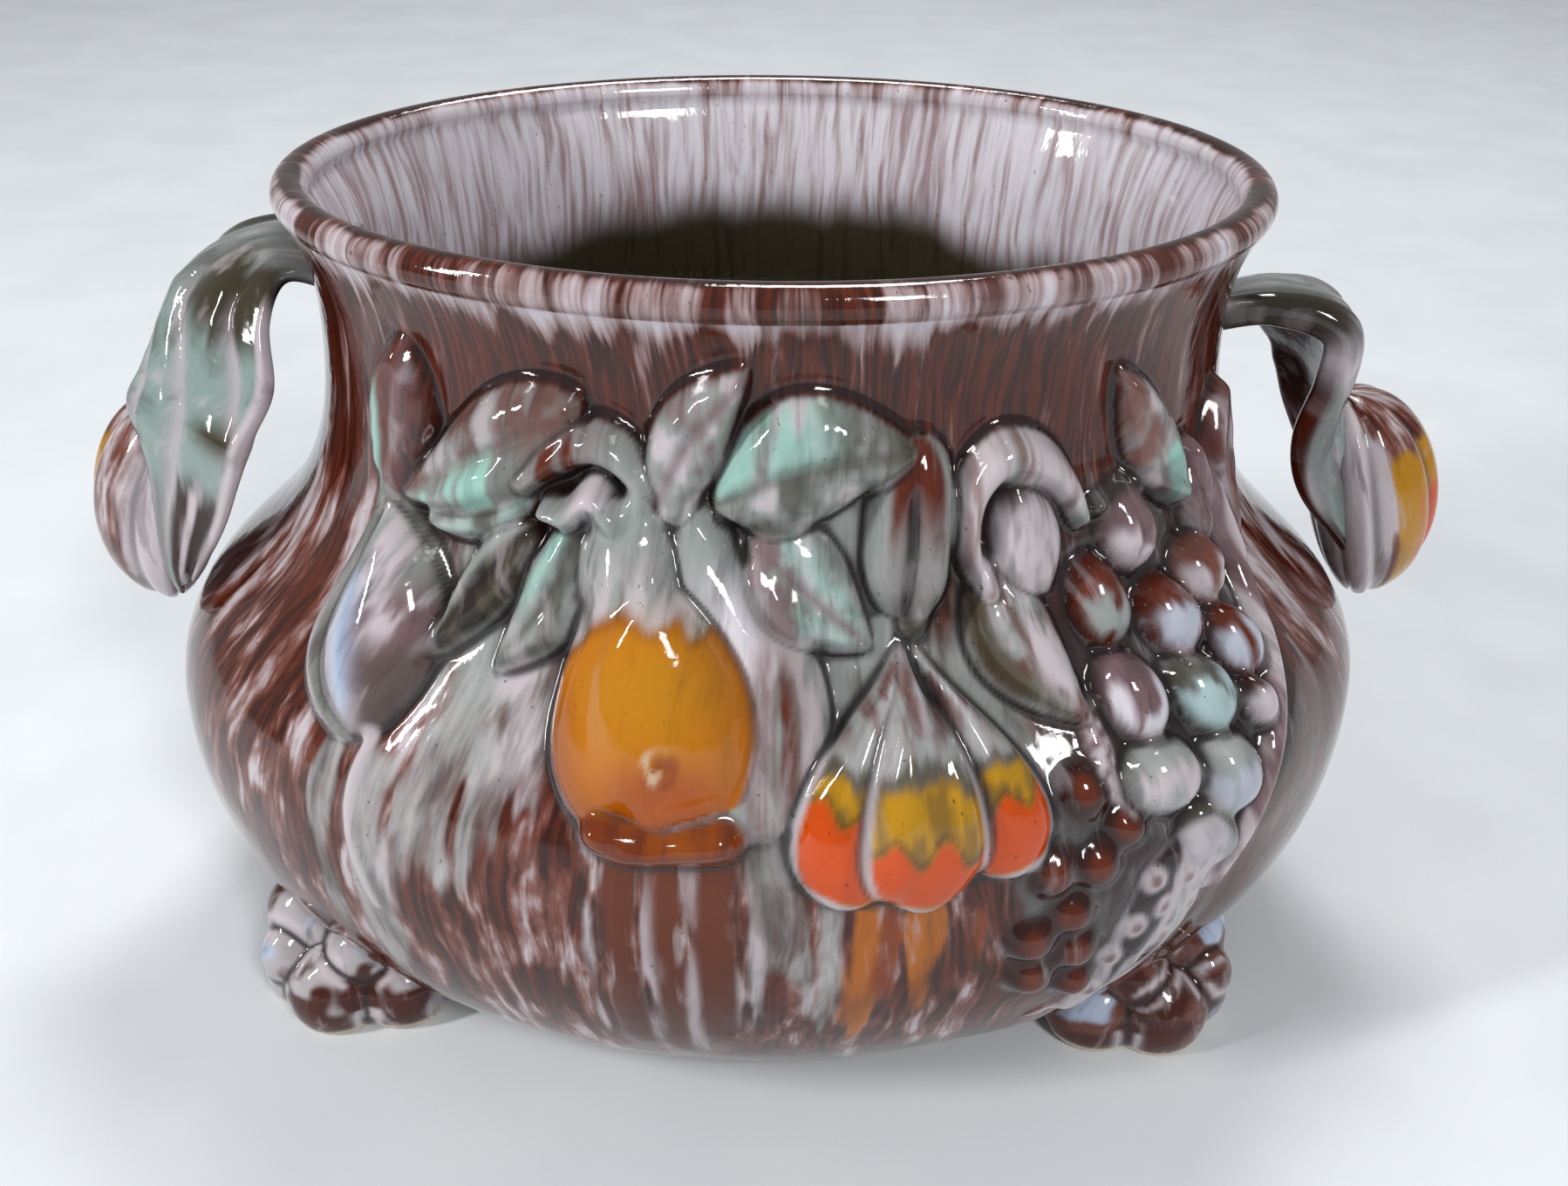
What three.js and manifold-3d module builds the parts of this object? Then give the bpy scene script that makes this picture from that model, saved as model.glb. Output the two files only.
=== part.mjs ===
// Oval glazed planter on four clay feet, with leaf handles and a garland of fruit and leaves
// on both long sides. Millimetres, +Z up. The origin is on the table under the bowl's centre,
// +X runs along the bowl's length and -Y is the front.
import * as THREE from 'three';
import { mergeVertices } from 'three/addons/utils/BufferGeometryUtils.js';
import Module from 'manifold-3d';

// Bowl: an oval shell with a flat base, a full belly, a drawn-in neck and a rolled lip
const HEIGHT = 220;
const BASE_LENGTH = 224;
const BASE_DEPTH = 162;
const BASE_LIFT = 7;
const BELLY_LENGTH = 329;
const BELLY_DEPTH = 238;
const BELLY_HEIGHT = 78;
const NECK_LENGTH = 226;
const NECK_DEPTH = 164;
const NECK_HEIGHT = 188;
const RIM_LENGTH = 240;
const RIM_DEPTH = 178;
const LIP_RADIUS = 4.4;
const WALL = 6.5;
const FLOOR = 7;
const FLOOR_EDGE = 10;

// How round the wall swells below and above the belly's widest line
const UNDER_FULLNESS = 0.55;
const OVER_FULLNESS = 50;
const NECK_EASE = 75;
const FLARE_EASE = 10;

// Gap to the bowl, growth of a piece that trims its neighbours, and how deep a piece is sunk
// before it is trimmed to the bowl
const SEAM = 0.3;
const TRIM = 0.5;
const SUNK = 6;

// Handles: a leaf that springs from the neck, arches out and is pressed onto the belly
const HANDLE_BEAD = 13;
const HANDLE_BLADE = 7.5;
const HANDLE_EDGE = 6;
const HANDLE_RIB = 0.9;
const HANDLE_RIBS = 3;
const HANDLE_FRUIT = {
  up: 43,
  out: 17,
  lean: 15,
  halfWidth: 21,
  halfHeight: 31,
  rise: 24,
  sunk: 9,
  ribs: 7,
  ribDepth: 0.05,
};

// Feet: four clusters of clay lumps, each with a flat unglazed sole
const RIGHT_FOOT = { x: 101, y: -67 };
const LEFT_FOOT = { x: -117, y: -56 };

// The nets that the garland, the handles and the feet are drawn on: rows from the belly line up to
// the lip's foot, and from the table up to the belly line
const WALL_NET_ROWS = 148;
const FOOT_NET_ROWS = 78;

// Mesh fineness
const RING_POINTS = 32;
const WALL_RINGS = 9;
const INNER_RINGS = 6;
const LIP_STEPS = 4;
const BERRY_POINTS = 6;
const HANDLE_SECTIONS = 12;
const HANDLE_ACROSS = 7;
const HANDLE_FRUIT_RINGS = 6;

const wasm = await Module();
wasm.setup();

// A closed mesh as a manifold-3d solid, always facing out.
function toSolid(geometry) {
  const merged = mergeVertices(geometry, 1e-4);
  const { array } = merged.attributes.position;
  const triangles = new Uint32Array(merged.index.array);
  if (enclosedVolume(array, triangles) < 0) triangles.reverse();
  return new wasm.Manifold(new wasm.Mesh({ numProp: 3, vertProperties: array, triVerts: triangles }));
}

function enclosedVolume(array, triangles) {
  const a = new THREE.Vector3();
  const b = new THREE.Vector3();
  const c = new THREE.Vector3();
  let volume = 0;
  for (let i = 0; i < triangles.length; i += 3) {
    a.fromArray(array, 3 * triangles[i]);
    b.fromArray(array, 3 * triangles[i + 1]);
    c.fromArray(array, 3 * triangles[i + 2]);
    volume += a.dot(b.cross(c)) / 6;
  }
  return volume;
}

function toGeometry(solid) {
  const { vertProperties, triVerts } = solid.getMesh();
  const geometry = new THREE.BufferGeometry();
  geometry.setAttribute('position', new THREE.BufferAttribute(vertProperties, 3));
  geometry.setIndex(new THREE.BufferAttribute(triVerts, 1));
  geometry.computeVertexNormals();
  return geometry;
}

// The largest body of a trimmed piece. Crumbs that trimming leaves beside it are wiped off.
function largestBody(solid) {
  return solid.decompose().reduce((best, body) => (body.volume() > best.volume() ? body : best));
}

// A closed skin through sections that all have the same number of points, with both ends capped.
function loft(sections) {
  const around = sections[0].length;
  const points = sections.flat();
  const index = [];
  for (let s = 0; s + 1 < sections.length; s++) {
    for (let i = 0; i < around; i++) {
      const here = s * around + i;
      const next = s * around + ((i + 1) % around);
      index.push(here, next, here + around, next, next + around, here + around);
    }
  }
  const cap = (section, first, flip) => {
    const centre = section.reduce((sum, p) => sum.add(p), new THREE.Vector3()).divideScalar(around);
    points.push(centre);
    for (let i = 0; i < around; i++) {
      const pair = [first + i, first + ((i + 1) % around)];
      if (flip) pair.reverse();
      index.push(points.length - 1, pair[1], pair[0]);
    }
  };
  cap(sections[0], 0, false);
  cap(sections.at(-1), (sections.length - 1) * around, true);
  const geometry = new THREE.BufferGeometry().setFromPoints(points);
  geometry.setIndex(index);
  return geometry;
}

// The outer wall's meridian: x is the half length, y the half depth and z the height of its ring.
const belly = new THREE.Vector3(BELLY_LENGTH / 2, BELLY_DEPTH / 2, BELLY_HEIGHT);
const neck = new THREE.Vector3(NECK_LENGTH / 2, NECK_DEPTH / 2, NECK_HEIGHT);
const base = new THREE.Vector3(BASE_LENGTH / 2, BASE_DEPTH / 2, BASE_LIFT);
const lipCentre = new THREE.Vector3(RIM_LENGTH / 2, RIM_DEPTH / 2, HEIGHT).subScalar(LIP_RADIUS);
const LIP_START = -Math.PI / 4;
const LIP_END = Math.PI;

function lipRing(angle, radius = LIP_RADIUS) {
  const side = radius * Math.cos(angle);
  return new THREE.Vector3(lipCentre.x + side, lipCentre.y + side, lipCentre.z + radius * Math.sin(angle));
}

function makeMeridian() {
  const lipFoot = lipRing(LIP_START);
  const underSide = base.clone().lerp(new THREE.Vector3(belly.x, belly.y, base.z), UNDER_FULLNESS);
  const underBelly = belly.clone();
  underBelly.z -= UNDER_FULLNESS * (belly.z - base.z);
  const overBelly = belly.clone();
  overBelly.z += OVER_FULLNESS;
  const underNeck = neck.clone();
  underNeck.z -= NECK_EASE;
  const overNeck = neck.clone();
  overNeck.z += FLARE_EASE;
  const underLip = neck.clone().lerp(lipFoot, 0.5);
  underLip.z = lipFoot.z - FLARE_EASE / 2;
  return [
    new THREE.CubicBezierCurve3(base, underSide, underBelly, belly),
    new THREE.CubicBezierCurve3(belly, overBelly, underNeck, neck),
    new THREE.CubicBezierCurve3(neck, overNeck, underLip, lipFoot),
  ];
}

// Stations up the wall: each holds its ring and w, its distance up the wall from the belly line.
const STATIONS_PER_CURVE = 80;
const stations = [];
makeMeridian().forEach((curve, curveNumber) => {
  for (let i = curveNumber ? 1 : 0; i <= STATIONS_PER_CURVE; i++) {
    const ring = curve.getPoint(i / STATIONS_PER_CURVE);
    const last = stations.at(-1);
    const change = last ? ring.clone().sub(last.ring) : new THREE.Vector3();
    stations.push({ ring, w: (last?.w ?? 0) + Math.hypot((change.x + change.y) / 2, change.z) });
  }
});
const bellyStation = stations[STATIONS_PER_CURVE].w;
stations.forEach((station) => {
  station.w -= bellyStation;
});
const WALL_FOOT = stations[0].w;
const WALL_TOP = stations.at(-1).w;
const NET_STEP = WALL_TOP / WALL_NET_ROWS;

function ringAt(w) {
  const held = THREE.MathUtils.clamp(w, WALL_FOOT, WALL_TOP);
  const above = Math.max(1, stations.findIndex((station) => station.w >= held));
  const [low, high] = [stations[above - 1], stations[above]];
  return low.ring.clone().lerp(high.ring, (held - low.w) / (high.w - low.w));
}

// Outward direction of the meridian at w: x is the share outwards and y the share upwards.
function slopeAt(w) {
  const low = ringAt(w - 1);
  const high = ringAt(w + 1);
  return new THREE.Vector2(high.z - low.z, -(high.x + high.y - low.x - low.y) / 2).normalize();
}

// Places on the wall are given as p, w and out: p runs round the belly ring from the front centre
// towards +X, w runs up the wall from the belly line, and out stands off the wall.
const bellyRing = new THREE.EllipseCurve(0, 0, belly.x, belly.y, -Math.PI / 2, 1.5 * Math.PI);
bellyRing.arcLengthDivisions = 720;
const PERIMETER = bellyRing.getLength();
const SIDE = PERIMETER / 4;

function angleAt(p) {
  const share = THREE.MathUtils.euclideanModulo(p, PERIMETER) / PERIMETER;
  const point = bellyRing.getPointAt(share);
  return Math.atan2(point.y / belly.y, point.x / belly.x);
}

function wallPoint(p, w, out = 0) {
  const angle = angleAt(p);
  const [cos, sin] = [Math.cos(angle), Math.sin(angle)];
  const ring = ringAt(w);
  const slope = slopeAt(w);
  const side = new THREE.Vector3(cos / ring.x, sin / ring.y, 0).normalize();
  return new THREE.Vector3(
    ring.x * cos + out * slope.x * side.x,
    ring.y * sin + out * slope.x * side.y,
    ring.z + out * slope.y,
  );
}

// Bowl rings, from the base up the outside, over the lip and down the inside to the floor.
function ovalRing(ring) {
  return Array.from({ length: RING_POINTS }, (_, i) => {
    const angle = (2 * Math.PI * i) / RING_POINTS;
    return new THREE.Vector3(ring.x * Math.cos(angle), ring.y * Math.sin(angle), ring.z);
  });
}

function offsetRing(w, out) {
  const slope = slopeAt(w);
  const ring = ringAt(w);
  return new THREE.Vector3(ring.x + out * slope.x, ring.y + out * slope.x, ring.z + out * slope.y);
}

function wallSteps(count) {
  return Array.from({ length: count + 1 }, (_, i) => THREE.MathUtils.lerp(WALL_FOOT, WALL_TOP, i / count));
}

function outerRings(out) {
  const rings = wallSteps(WALL_RINGS).map((w) => offsetRing(w, out));
  rings[0].z = base.z - out;
  for (let i = 1; i <= LIP_STEPS; i++) {
    rings.push(lipRing(THREE.MathUtils.lerp(LIP_START, LIP_END, i / LIP_STEPS), LIP_RADIUS + out));
  }
  return rings;
}

// The bowl as a full block, grown by out: what is laid against the bowl is trimmed with it.
function bowlBlock(out) {
  const rings = outerRings(out);
  return toSolid(loft(rings.slice(0, -2).map(ovalRing)));
}

function makeBowl() {
  const floorHeight = BASE_LIFT + FLOOR;
  const inner = wallSteps(INNER_RINGS)
    .map((w) => offsetRing(w, -WALL))
    .reverse()
    .filter((ring) => ring.z > floorHeight + 1 && ring.z < lipCentre.z - 1);
  const floorEdge = new THREE.Vector3(base.x - FLOOR_EDGE, base.y - FLOOR_EDGE, floorHeight);
  return toSolid(loft([...outerRings(0), ...inner, floorEdge].map(ovalRing)));
}

const trimBowl = bowlBlock(SEAM);

// Outlines of laid-on pieces: the share of the half width along the piece, from stem to tip.
const hump = (t, centre, reach) => Math.sqrt(Math.max(0, 1 - ((t - centre) / reach) ** 2));
const DROP_BELLY = 0.74;
const dropOutline = (t) =>
  t < DROP_BELLY ? Math.sin((0.5 * Math.PI * t) / DROP_BELLY) ** 1.3 : hump(t, DROP_BELLY, 1 - DROP_BELLY);
const leafOutline = (t) => Math.sin(Math.PI * t ** 0.8) ** 0.8;
const podOutline = (t) => Math.max(0, 1 - (2 * t - 1) ** 4) ** 0.5;
const hornOutline = (t) => Math.max(0, 1 - (2 * t - 1) ** 2) ** 0.6;

// A pear: a narrow neck, a full body and a small blossom end run into one another.
const PEAR_HUMPS = [
  { share: 1, centre: 0.6, reach: 0.33 },
  { share: 0.52, centre: 0.27, reach: 0.27 },
  { share: 0.44, centre: 0.93, reach: 0.07 },
];
const pearOutline = (t) => {
  const swells = PEAR_HUMPS.map(({ share, centre, reach }) => (share * hump(t, centre, reach)) ** 3);
  return Math.cbrt(swells.reduce((sum, swell) => sum + swell));
};

// Crowns: the share of the rise at t along the piece and c across it, with c from -1 to 1.
const CROWN_END = 0.08;
const domeCrown = (t, c) => {
  const held = THREE.MathUtils.clamp(t, CROWN_END, 1 - CROWN_END);
  return hump(c, 0, 1) * Math.sqrt(Math.sin(Math.PI * held));
};
const dropCrown = (t, c) => {
  const swell = 0.55 + 0.45 * Math.min(t, DROP_BELLY);
  return hump(c, 0, 1) * swell * (t < DROP_BELLY ? 1 : dropOutline(t));
};
const MIDRIB_DEPTH = 0.4;
const leafCrown = (t, c) => {
  const swell = 1 - 0.75 * Math.abs(c) ** 3;
  const midrib = c === 0 ? 1 - MIDRIB_DEPTH * Math.sin(Math.PI * t) : 1;
  return swell * midrib * (0.55 + 0.45 * Math.sin(Math.PI * t));
};

const KINDS = {
  leaf: { outline: leafOutline, crown: leafCrown, across: [-1, -0.5, 0, 0.5, 1], steps: 6 },
  pear: { outline: pearOutline, crown: domeCrown, across: [-1, -0.8, -0.3, 0.3, 0.8, 1], steps: 9 },
  fruit: { outline: podOutline, crown: domeCrown, across: [-1, -0.75, 0, 0.75, 1], steps: 6 },
  bud: { outline: dropOutline, crown: dropCrown, across: [-1, -0.75, 0, 0.75, 1], steps: 8 },
  horn: { outline: hornOutline, crown: domeCrown, across: [-1, 0, 1], steps: 7 },
};

// Edge thickness of a laid-on piece, above the wall
const EDGE_RISE = 1.4;

// The piece's sections across its axis, grown all round where it trims the pieces below it.
function pieceSections(piece, grown) {
  const kind = KINDS[piece.kind];
  const heading = THREE.MathUtils.degToRad(piece.heading);
  const along = new THREE.Vector2(Math.sin(heading), Math.cos(heading));
  const side = new THREE.Vector2(Math.cos(heading), -Math.sin(heading));
  const bend = piece.bend ?? 0;
  return Array.from({ length: kind.steps }, (_, i) => {
    const t = (1 - Math.cos((Math.PI * (i + 0.5)) / kind.steps)) / 2;
    const run = -grown + t * (piece.length + 2 * grown);
    const middle = new THREE.Vector2(...piece.stem)
      .addScaledVector(along, run)
      .addScaledVector(side, bend * 4 * t * (1 - t));
    const turn = Math.atan((bend * 4 * (1 - 2 * t)) / piece.length);
    const across = side.clone().multiplyScalar(Math.cos(turn)).addScaledVector(along, -Math.sin(turn));
    const half = (piece.width / 2) * kind.outline(t) + grown;
    const place = (c, out) => {
      const at = middle.clone().addScaledVector(across, c * half);
      return wallPoint(at.x, at.y, out);
    };
    const riseAt = (c) => EDGE_RISE + (piece.rise - EDGE_RISE) * kind.crown(t, c);
    const skin = kind.across.map((c) => place(c, grown + riseAt(c)));
    return [place(-1, -SUNK - grown), ...skin, place(1, -SUNK - grown)];
  });
}

// A round berry half sunk in the wall, as rings from its root to its crown.
const BERRY_TILTS = [110, 68, 28].map(THREE.MathUtils.degToRad);

function berrySolid([p, w, radius], grown) {
  const size = radius + grown;
  const centre = wallPoint(p, w, 0);
  const outward = wallPoint(p, w, 1).sub(centre).normalize();
  const turnOut = new THREE.Quaternion().setFromUnitVectors(new THREE.Vector3(0, 1, 0), outward);
  const rings = BERRY_TILTS.map((tilt) =>
    Array.from({ length: BERRY_POINTS }, (_, i) => {
      const turn = (2 * Math.PI * i) / BERRY_POINTS;
      const spoke = new THREE.Vector3().setFromSphericalCoords(size, tilt, turn);
      return spoke.applyQuaternion(turnOut).add(centre);
    }),
  );
  return toSolid(loft(rings));
}

// A single piece, or a bunch of berries that run into one another on a low bed.
function pieceSolid(piece, grown = 0) {
  if (!piece.berries) return toSolid(loft(pieceSections(piece, grown)));
  const bed = toSolid(loft(pieceSections(piece.bed, grown)));
  return piece.berries.map((berry) => berrySolid(berry, grown)).reduce((solid, berry) => solid.add(berry), bed);
}

// The garland, listed from the uppermost piece down: each is trimmed to those above it.
// stem is where the piece starts as [p, w]; heading is clockwise from straight up the wall.
// A berry is [p, w, radius]. All lengths are in steps of the wall's net.
const CLAY = {
  amber: 0xc07a14,
  sage: 0x8f9a8a,
  mint: 0x8fc0a6,
  plum: 0x8d7f88,
  orange: 0xe0622a,
  brown: 0x5a2a1e,
};
const GARLAND = [
  {
    name: 'pear_amber', kind: 'pear', clay: 'amber',
    stem: [-54, 102], heading: 159, length: 86, width: 56, rise: 20,
  },
  {
    name: 'stem_curl', kind: 'leaf', clay: 'sage',
    stem: [-75, 100], heading: 78, length: 31, width: 17, rise: 9, bend: -7,
  },
  {
    name: 'leaf_crest', kind: 'leaf', clay: 'sage',
    stem: [-40, 100], heading: 38, length: 45, width: 21, rise: 8, bend: -3,
  },
  {
    name: 'leaf_broad', kind: 'leaf', clay: 'mint',
    stem: [-22, 106], heading: 79, length: 60, width: 30, rise: 9, bend: -3,
  },
  {
    name: 'pear_grey', kind: 'pear', clay: 'plum',
    stem: [-27, 103], heading: 168, length: 84, width: 54, rise: 14,
  },
  {
    name: 'bud_centre', kind: 'bud', clay: 'orange',
    stem: [38, 77], heading: 185, length: 71, width: 33, rise: 16,
  },
  {
    name: 'bud_left', kind: 'bud', clay: 'orange',
    stem: [35, 75], heading: 200, length: 66, width: 30, rise: 13, bend: 2,
  },
  {
    name: 'bud_right', kind: 'bud', clay: 'orange',
    stem: [41, 75], heading: 165, length: 61, width: 29, rise: 12, bend: -3,
  },
  {
    name: 'pod_tulip', kind: 'fruit', clay: 'brown',
    stem: [43, 124], heading: 187, length: 49, width: 27, rise: 10,
  },
  {
    name: 'leaf_under', kind: 'leaf', clay: 'mint',
    stem: [-10, 98], heading: 128, length: 42, width: 26, rise: 6,
  },
  {
    name: 'hood_seed', kind: 'fruit', clay: 'plum',
    stem: [74, 101], heading: 153, length: 37, width: 23, rise: 9,
  },
  {
    name: 'hood_leaf', kind: 'horn', clay: 'sage',
    stem: [60, 85], heading: 68, length: 46, width: 17, rise: 8, bend: -13,
  },
  {
    name: 'grape_bunch',
    clay: 'plum',
    berries: [
      [117, 88, 13], [141, 76, 13], [101, 71, 13], [122, 65, 13],
      [140, 52, 12], [101, 50, 12], [120, 43, 12], [102, 30, 11],
      [117, 22, 11], [108, 5, 11],
    ],
    bed: { kind: 'fruit', stem: [124, 92], heading: 189, length: 90, width: 40, rise: 4 },
  },
  {
    name: 'leaf_curved', kind: 'leaf', clay: 'sage',
    stem: [66, 86], heading: 160, length: 50, width: 21, rise: 8, bend: 7,
  },
  {
    name: 'berry_cluster',
    clay: 'brown',
    berries: [
      [72, 23, 9], [84, 15, 9], [72, 7, 9], [84, -2, 9],
      [72, -11, 9], [83, -19, 8],
    ],
    bed: { kind: 'fruit', stem: [78, 28], heading: 179, length: 50, width: 20, rise: 3 },
  },
  {
    name: 'leaf_vine_top', kind: 'leaf', clay: 'sage',
    stem: [144, 94], heading: -42, length: 44, width: 19, rise: 7,
  },
  {
    name: 'leaf_edge', kind: 'leaf', clay: 'sage',
    stem: [178, 103], heading: 191, length: 50, width: 20, rise: 6, bend: 3,
  },
  {
    name: 'leaf_pear_side', kind: 'leaf', clay: 'mint',
    stem: [-69, 97], heading: 199, length: 47, width: 21, rise: 9, bend: -5,
  },
  {
    name: 'leaf_dark', kind: 'leaf', clay: 'brown',
    stem: [-92, 92], heading: 195, length: 43, width: 17, rise: 8, bend: 4,
  },
  {
    name: 'leaf_crown', kind: 'leaf', clay: 'brown',
    stem: [-72, 114], heading: 253, length: 66, width: 26, rise: 9, bend: 6,
  },
  {
    name: 'leaf_crown_low', kind: 'leaf', clay: 'mint',
    stem: [-82, 97], heading: 252, length: 50, width: 18, rise: 8,
  },
  {
    name: 'fig', kind: 'fruit', clay: 'plum',
    stem: [-141, 86], heading: 150, length: 72, width: 46, rise: 14,
  },
  {
    name: 'leaf_far', kind: 'leaf', clay: 'brown',
    stem: [-138, 129], heading: 205, length: 46, width: 26, rise: 7,
  },
];

// A piece of the garland with its lengths turned from net steps into millimetres.
function offNet(piece) {
  const scaled = { ...piece };
  for (const key of ['length', 'width', 'rise', 'bend']) {
    if (key in piece) scaled[key] = piece[key] * NET_STEP;
  }
  if (piece.stem) scaled.stem = piece.stem.map((step) => step * NET_STEP);
  if (piece.berries) scaled.berries = piece.berries.map((berry) => berry.map((step) => step * NET_STEP));
  if (piece.bed) scaled.bed = offNet(piece.bed);
  return scaled;
}

function makeGarland() {
  const above = [];
  return GARLAND.map(offNet).map((piece) => {
    const raised = pieceSolid(piece).subtract(trimBowl);
    const laid = above.reduce((solid, upper) => solid.subtract(upper), raised);
    above.push(pieceSolid(piece, TRIM));
    return { ...piece, solid: largestBody(laid) };
  });
}

// Handle leaf: three curves in wall places [p from the bowl's end, w, out], in steps of the wall's
// net, carry its bead, its crown and its free edge, from the root in the neck to the belly.
const HANDLE_BEAD_LINE = [
  [-22, 128, -6], [-22, 132, 11], [-22, 126, 24], [-22, 106, 26],
  [-22, 84, 24], [-20, 62, 17], [-13, 40, 9], [-6, 19, 6],
];
const HANDLE_CROWN_LINE = [
  [0, 130, -6], [0, 136, 13], [0, 131, 26], [0, 109, 34],
  [0, 84, 36], [-1, 60, 32], [-1, 40, 18], [0, 19, 7],
];
const HANDLE_EDGE_LINE = [
  [22, 124, -6], [20, 129, 6], [27, 120, 13], [35, 104, 13],
  [32, 84, 18], [28, 60, 16], [17, 38, 8], [6, 19, 5],
];

function wallCurve(line) {
  return new THREE.CatmullRomCurve3(line.map((point) => new THREE.Vector3(...point).multiplyScalar(NET_STEP)));
}

const beadLine = wallCurve(HANDLE_BEAD_LINE);
const crownLine = wallCurve(HANDLE_CROWN_LINE);
const edgeLine = wallCurve(HANDLE_EDGE_LINE);

function onWall(point) {
  return wallPoint(SIDE + point.x, point.y, point.z);
}

// The middle of the leaf at s from root to tip and q from bead to free edge.
function handleMiddle(s, q) {
  const bead = onWall(beadLine.getPoint(s));
  const crown = onWall(crownLine.getPoint(s));
  const edge = onWall(edgeLine.getPoint(s));
  const control = crown.multiplyScalar(2).sub(bead.clone().add(edge).multiplyScalar(0.5));
  return new THREE.QuadraticBezierCurve3(bead, control, edge).getPoint(q);
}

// Unit directions there: along the leaf to its tip, across it to its free edge, and outwards.
function handleDirections(s, q) {
  const step = 0.01;
  const across = handleMiddle(s, Math.min(1, q + step)).sub(handleMiddle(s, Math.max(0, q - step)));
  const along = handleMiddle(Math.min(1, s + step), q).sub(handleMiddle(Math.max(0, s - step), q));
  const normal = along.clone().cross(across).normalize();
  return { along: along.normalize(), across: across.normalize(), normal };
}

// Thickness at s and q: the bead dies out towards the tip, where the blade thins as well.
const BEAD_SHARE = 0.2;
const TIP_START = 0.6;
const TIP_THINNING = 0.2;

function handleThickness(s, q) {
  const tip = THREE.MathUtils.smoothstep(s, TIP_START, 1);
  const blade = THREE.MathUtils.lerp(HANDLE_BLADE, HANDLE_EDGE, q) * (1 - TIP_THINNING * tip);
  const bead = THREE.MathUtils.lerp(HANDLE_BEAD, blade, tip) * Math.sqrt(Math.max(0, 1 - q / BEAD_SHARE));
  return Math.max(bead, blade);
}

// -1 at the start of a share from 0 to 1, 1 at its end and 0 between them.
const atEnd = (share) => (share === 1) - (share === 0);

function handleSections(grown) {
  return Array.from({ length: HANDLE_SECTIONS }, (_, i) => {
    const s = i / (HANDLE_SECTIONS - 1);
    const lengthened = grown * atEnd(s);
    const outer = [];
    const inner = [];
    for (let j = 0; j < HANDLE_ACROSS; j++) {
      const q = j / (HANDLE_ACROSS - 1);
      const { along, across, normal } = handleDirections(s, q);
      const middle = handleMiddle(s, q)
        .addScaledVector(along, lengthened)
        .addScaledVector(across, grown * atEnd(q));
      const half = handleThickness(s, q) / 2 + grown;
      const rib = HANDLE_RIB * Math.cos(2 * Math.PI * HANDLE_RIBS * q);
      outer.push(middle.clone().addScaledVector(normal, half + rib));
      if (j % 2 === 0) inner.push(middle.clone().addScaledVector(normal, -half));
    }
    return [...outer, ...inner.reverse()];
  });
}

// A ribbed gourd pressed onto the handle's outer face.
function makeHandleFruit(trimLeaf) {
  const { up, out, lean, halfWidth, halfHeight, rise, sunk, ribs, ribDepth } = HANDLE_FRUIT;
  const centre = onWall(new THREE.Vector3(0, up, out));
  const leanAxis = new THREE.Vector3(0, -1, 0);
  const turnOut = new THREE.Quaternion().setFromAxisAngle(leanAxis, THREE.MathUtils.degToRad(lean));
  const around = 2 * ribs;
  const sections = Array.from({ length: HANDLE_FRUIT_RINGS }, (_, i) => {
    const tilt = (Math.PI * (i + 0.5)) / HANDLE_FRUIT_RINGS;
    return Array.from({ length: around }, (_unused, j) => {
      const turn = (2 * Math.PI * j) / around;
      const swell = Math.sin(tilt) * (1 + ribDepth * Math.cos(ribs * turn));
      const outwards = Math.cos(turn) * swell;
      const point = new THREE.Vector3(
        outwards * (outwards > 0 ? rise : sunk),
        Math.sin(turn) * swell * halfWidth,
        Math.cos(tilt) * halfHeight,
      );
      return point.applyQuaternion(turnOut).add(centre);
    });
  });
  return largestBody(toSolid(loft(sections)).subtract(trimLeaf).subtract(trimBowl));
}

// Foot lumps as [x, y, z] from the foot's middle and [rx, ry, rz], in steps of the foot's net:
// heel, toes and knuckle.
const FOOT_LUMPS = [
  { at: [-6, 6, 21], radii: [20, 17, 20] },
  { at: [-13, -8, 11], radii: [14, 12, 13] },
  { at: [4, -11, 12], radii: [13, 11, 14] },
  { at: [14, 1, 12], radii: [12, 14, 13] },
  { at: [11, 5, 28], radii: [13, 13, 13] },
];
const SOLE_PRESS = 3;
const FOOT_STEP = BELLY_HEIGHT / FOOT_NET_ROWS;
const LUMP_TURNS = 7;
const LUMP_RINGS = 4;

function bare(geometry) {
  geometry.deleteAttribute('normal');
  geometry.deleteAttribute('uv');
  return geometry;
}

// One foot at its place under the bowl. hand is 1 for a right foot and -1 for its mirror image.
function makeFoot({ x, y }, hand) {
  const lumps = FOOT_LUMPS.map(({ at, radii }) => {
    const lump = bare(new THREE.SphereGeometry(1, LUMP_TURNS, LUMP_RINGS));
    lump.rotateX(Math.PI / 2);
    lump.scale(...radii);
    lump.translate(at[0], at[1], at[2]);
    lump.scale(hand * FOOT_STEP, FOOT_STEP, FOOT_STEP);
    lump.translate(x, y, -SOLE_PRESS);
    return toSolid(lump);
  });
  const table = bare(new THREE.BoxGeometry(HEIGHT, HEIGHT, HEIGHT));
  table.translate(x, y, -HEIGHT / 2);
  const whole = lumps.reduce((solid, lump) => solid.add(lump));
  return largestBody(whole.subtract(toSolid(table)).subtract(trimBowl));
}

// Assembly
const planter = new THREE.Group();

function glazed(colour, roughness = 0.15) {
  return new THREE.MeshStandardMaterial({ color: colour, roughness, metalness: 0 });
}

function addMesh(parent, name, solid, material) {
  const mesh = new THREE.Mesh(toGeometry(solid), material);
  mesh.name = name;
  parent.add(mesh);
}

addMesh(planter, 'bowl', makeBowl(), glazed(CLAY.brown));

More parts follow.
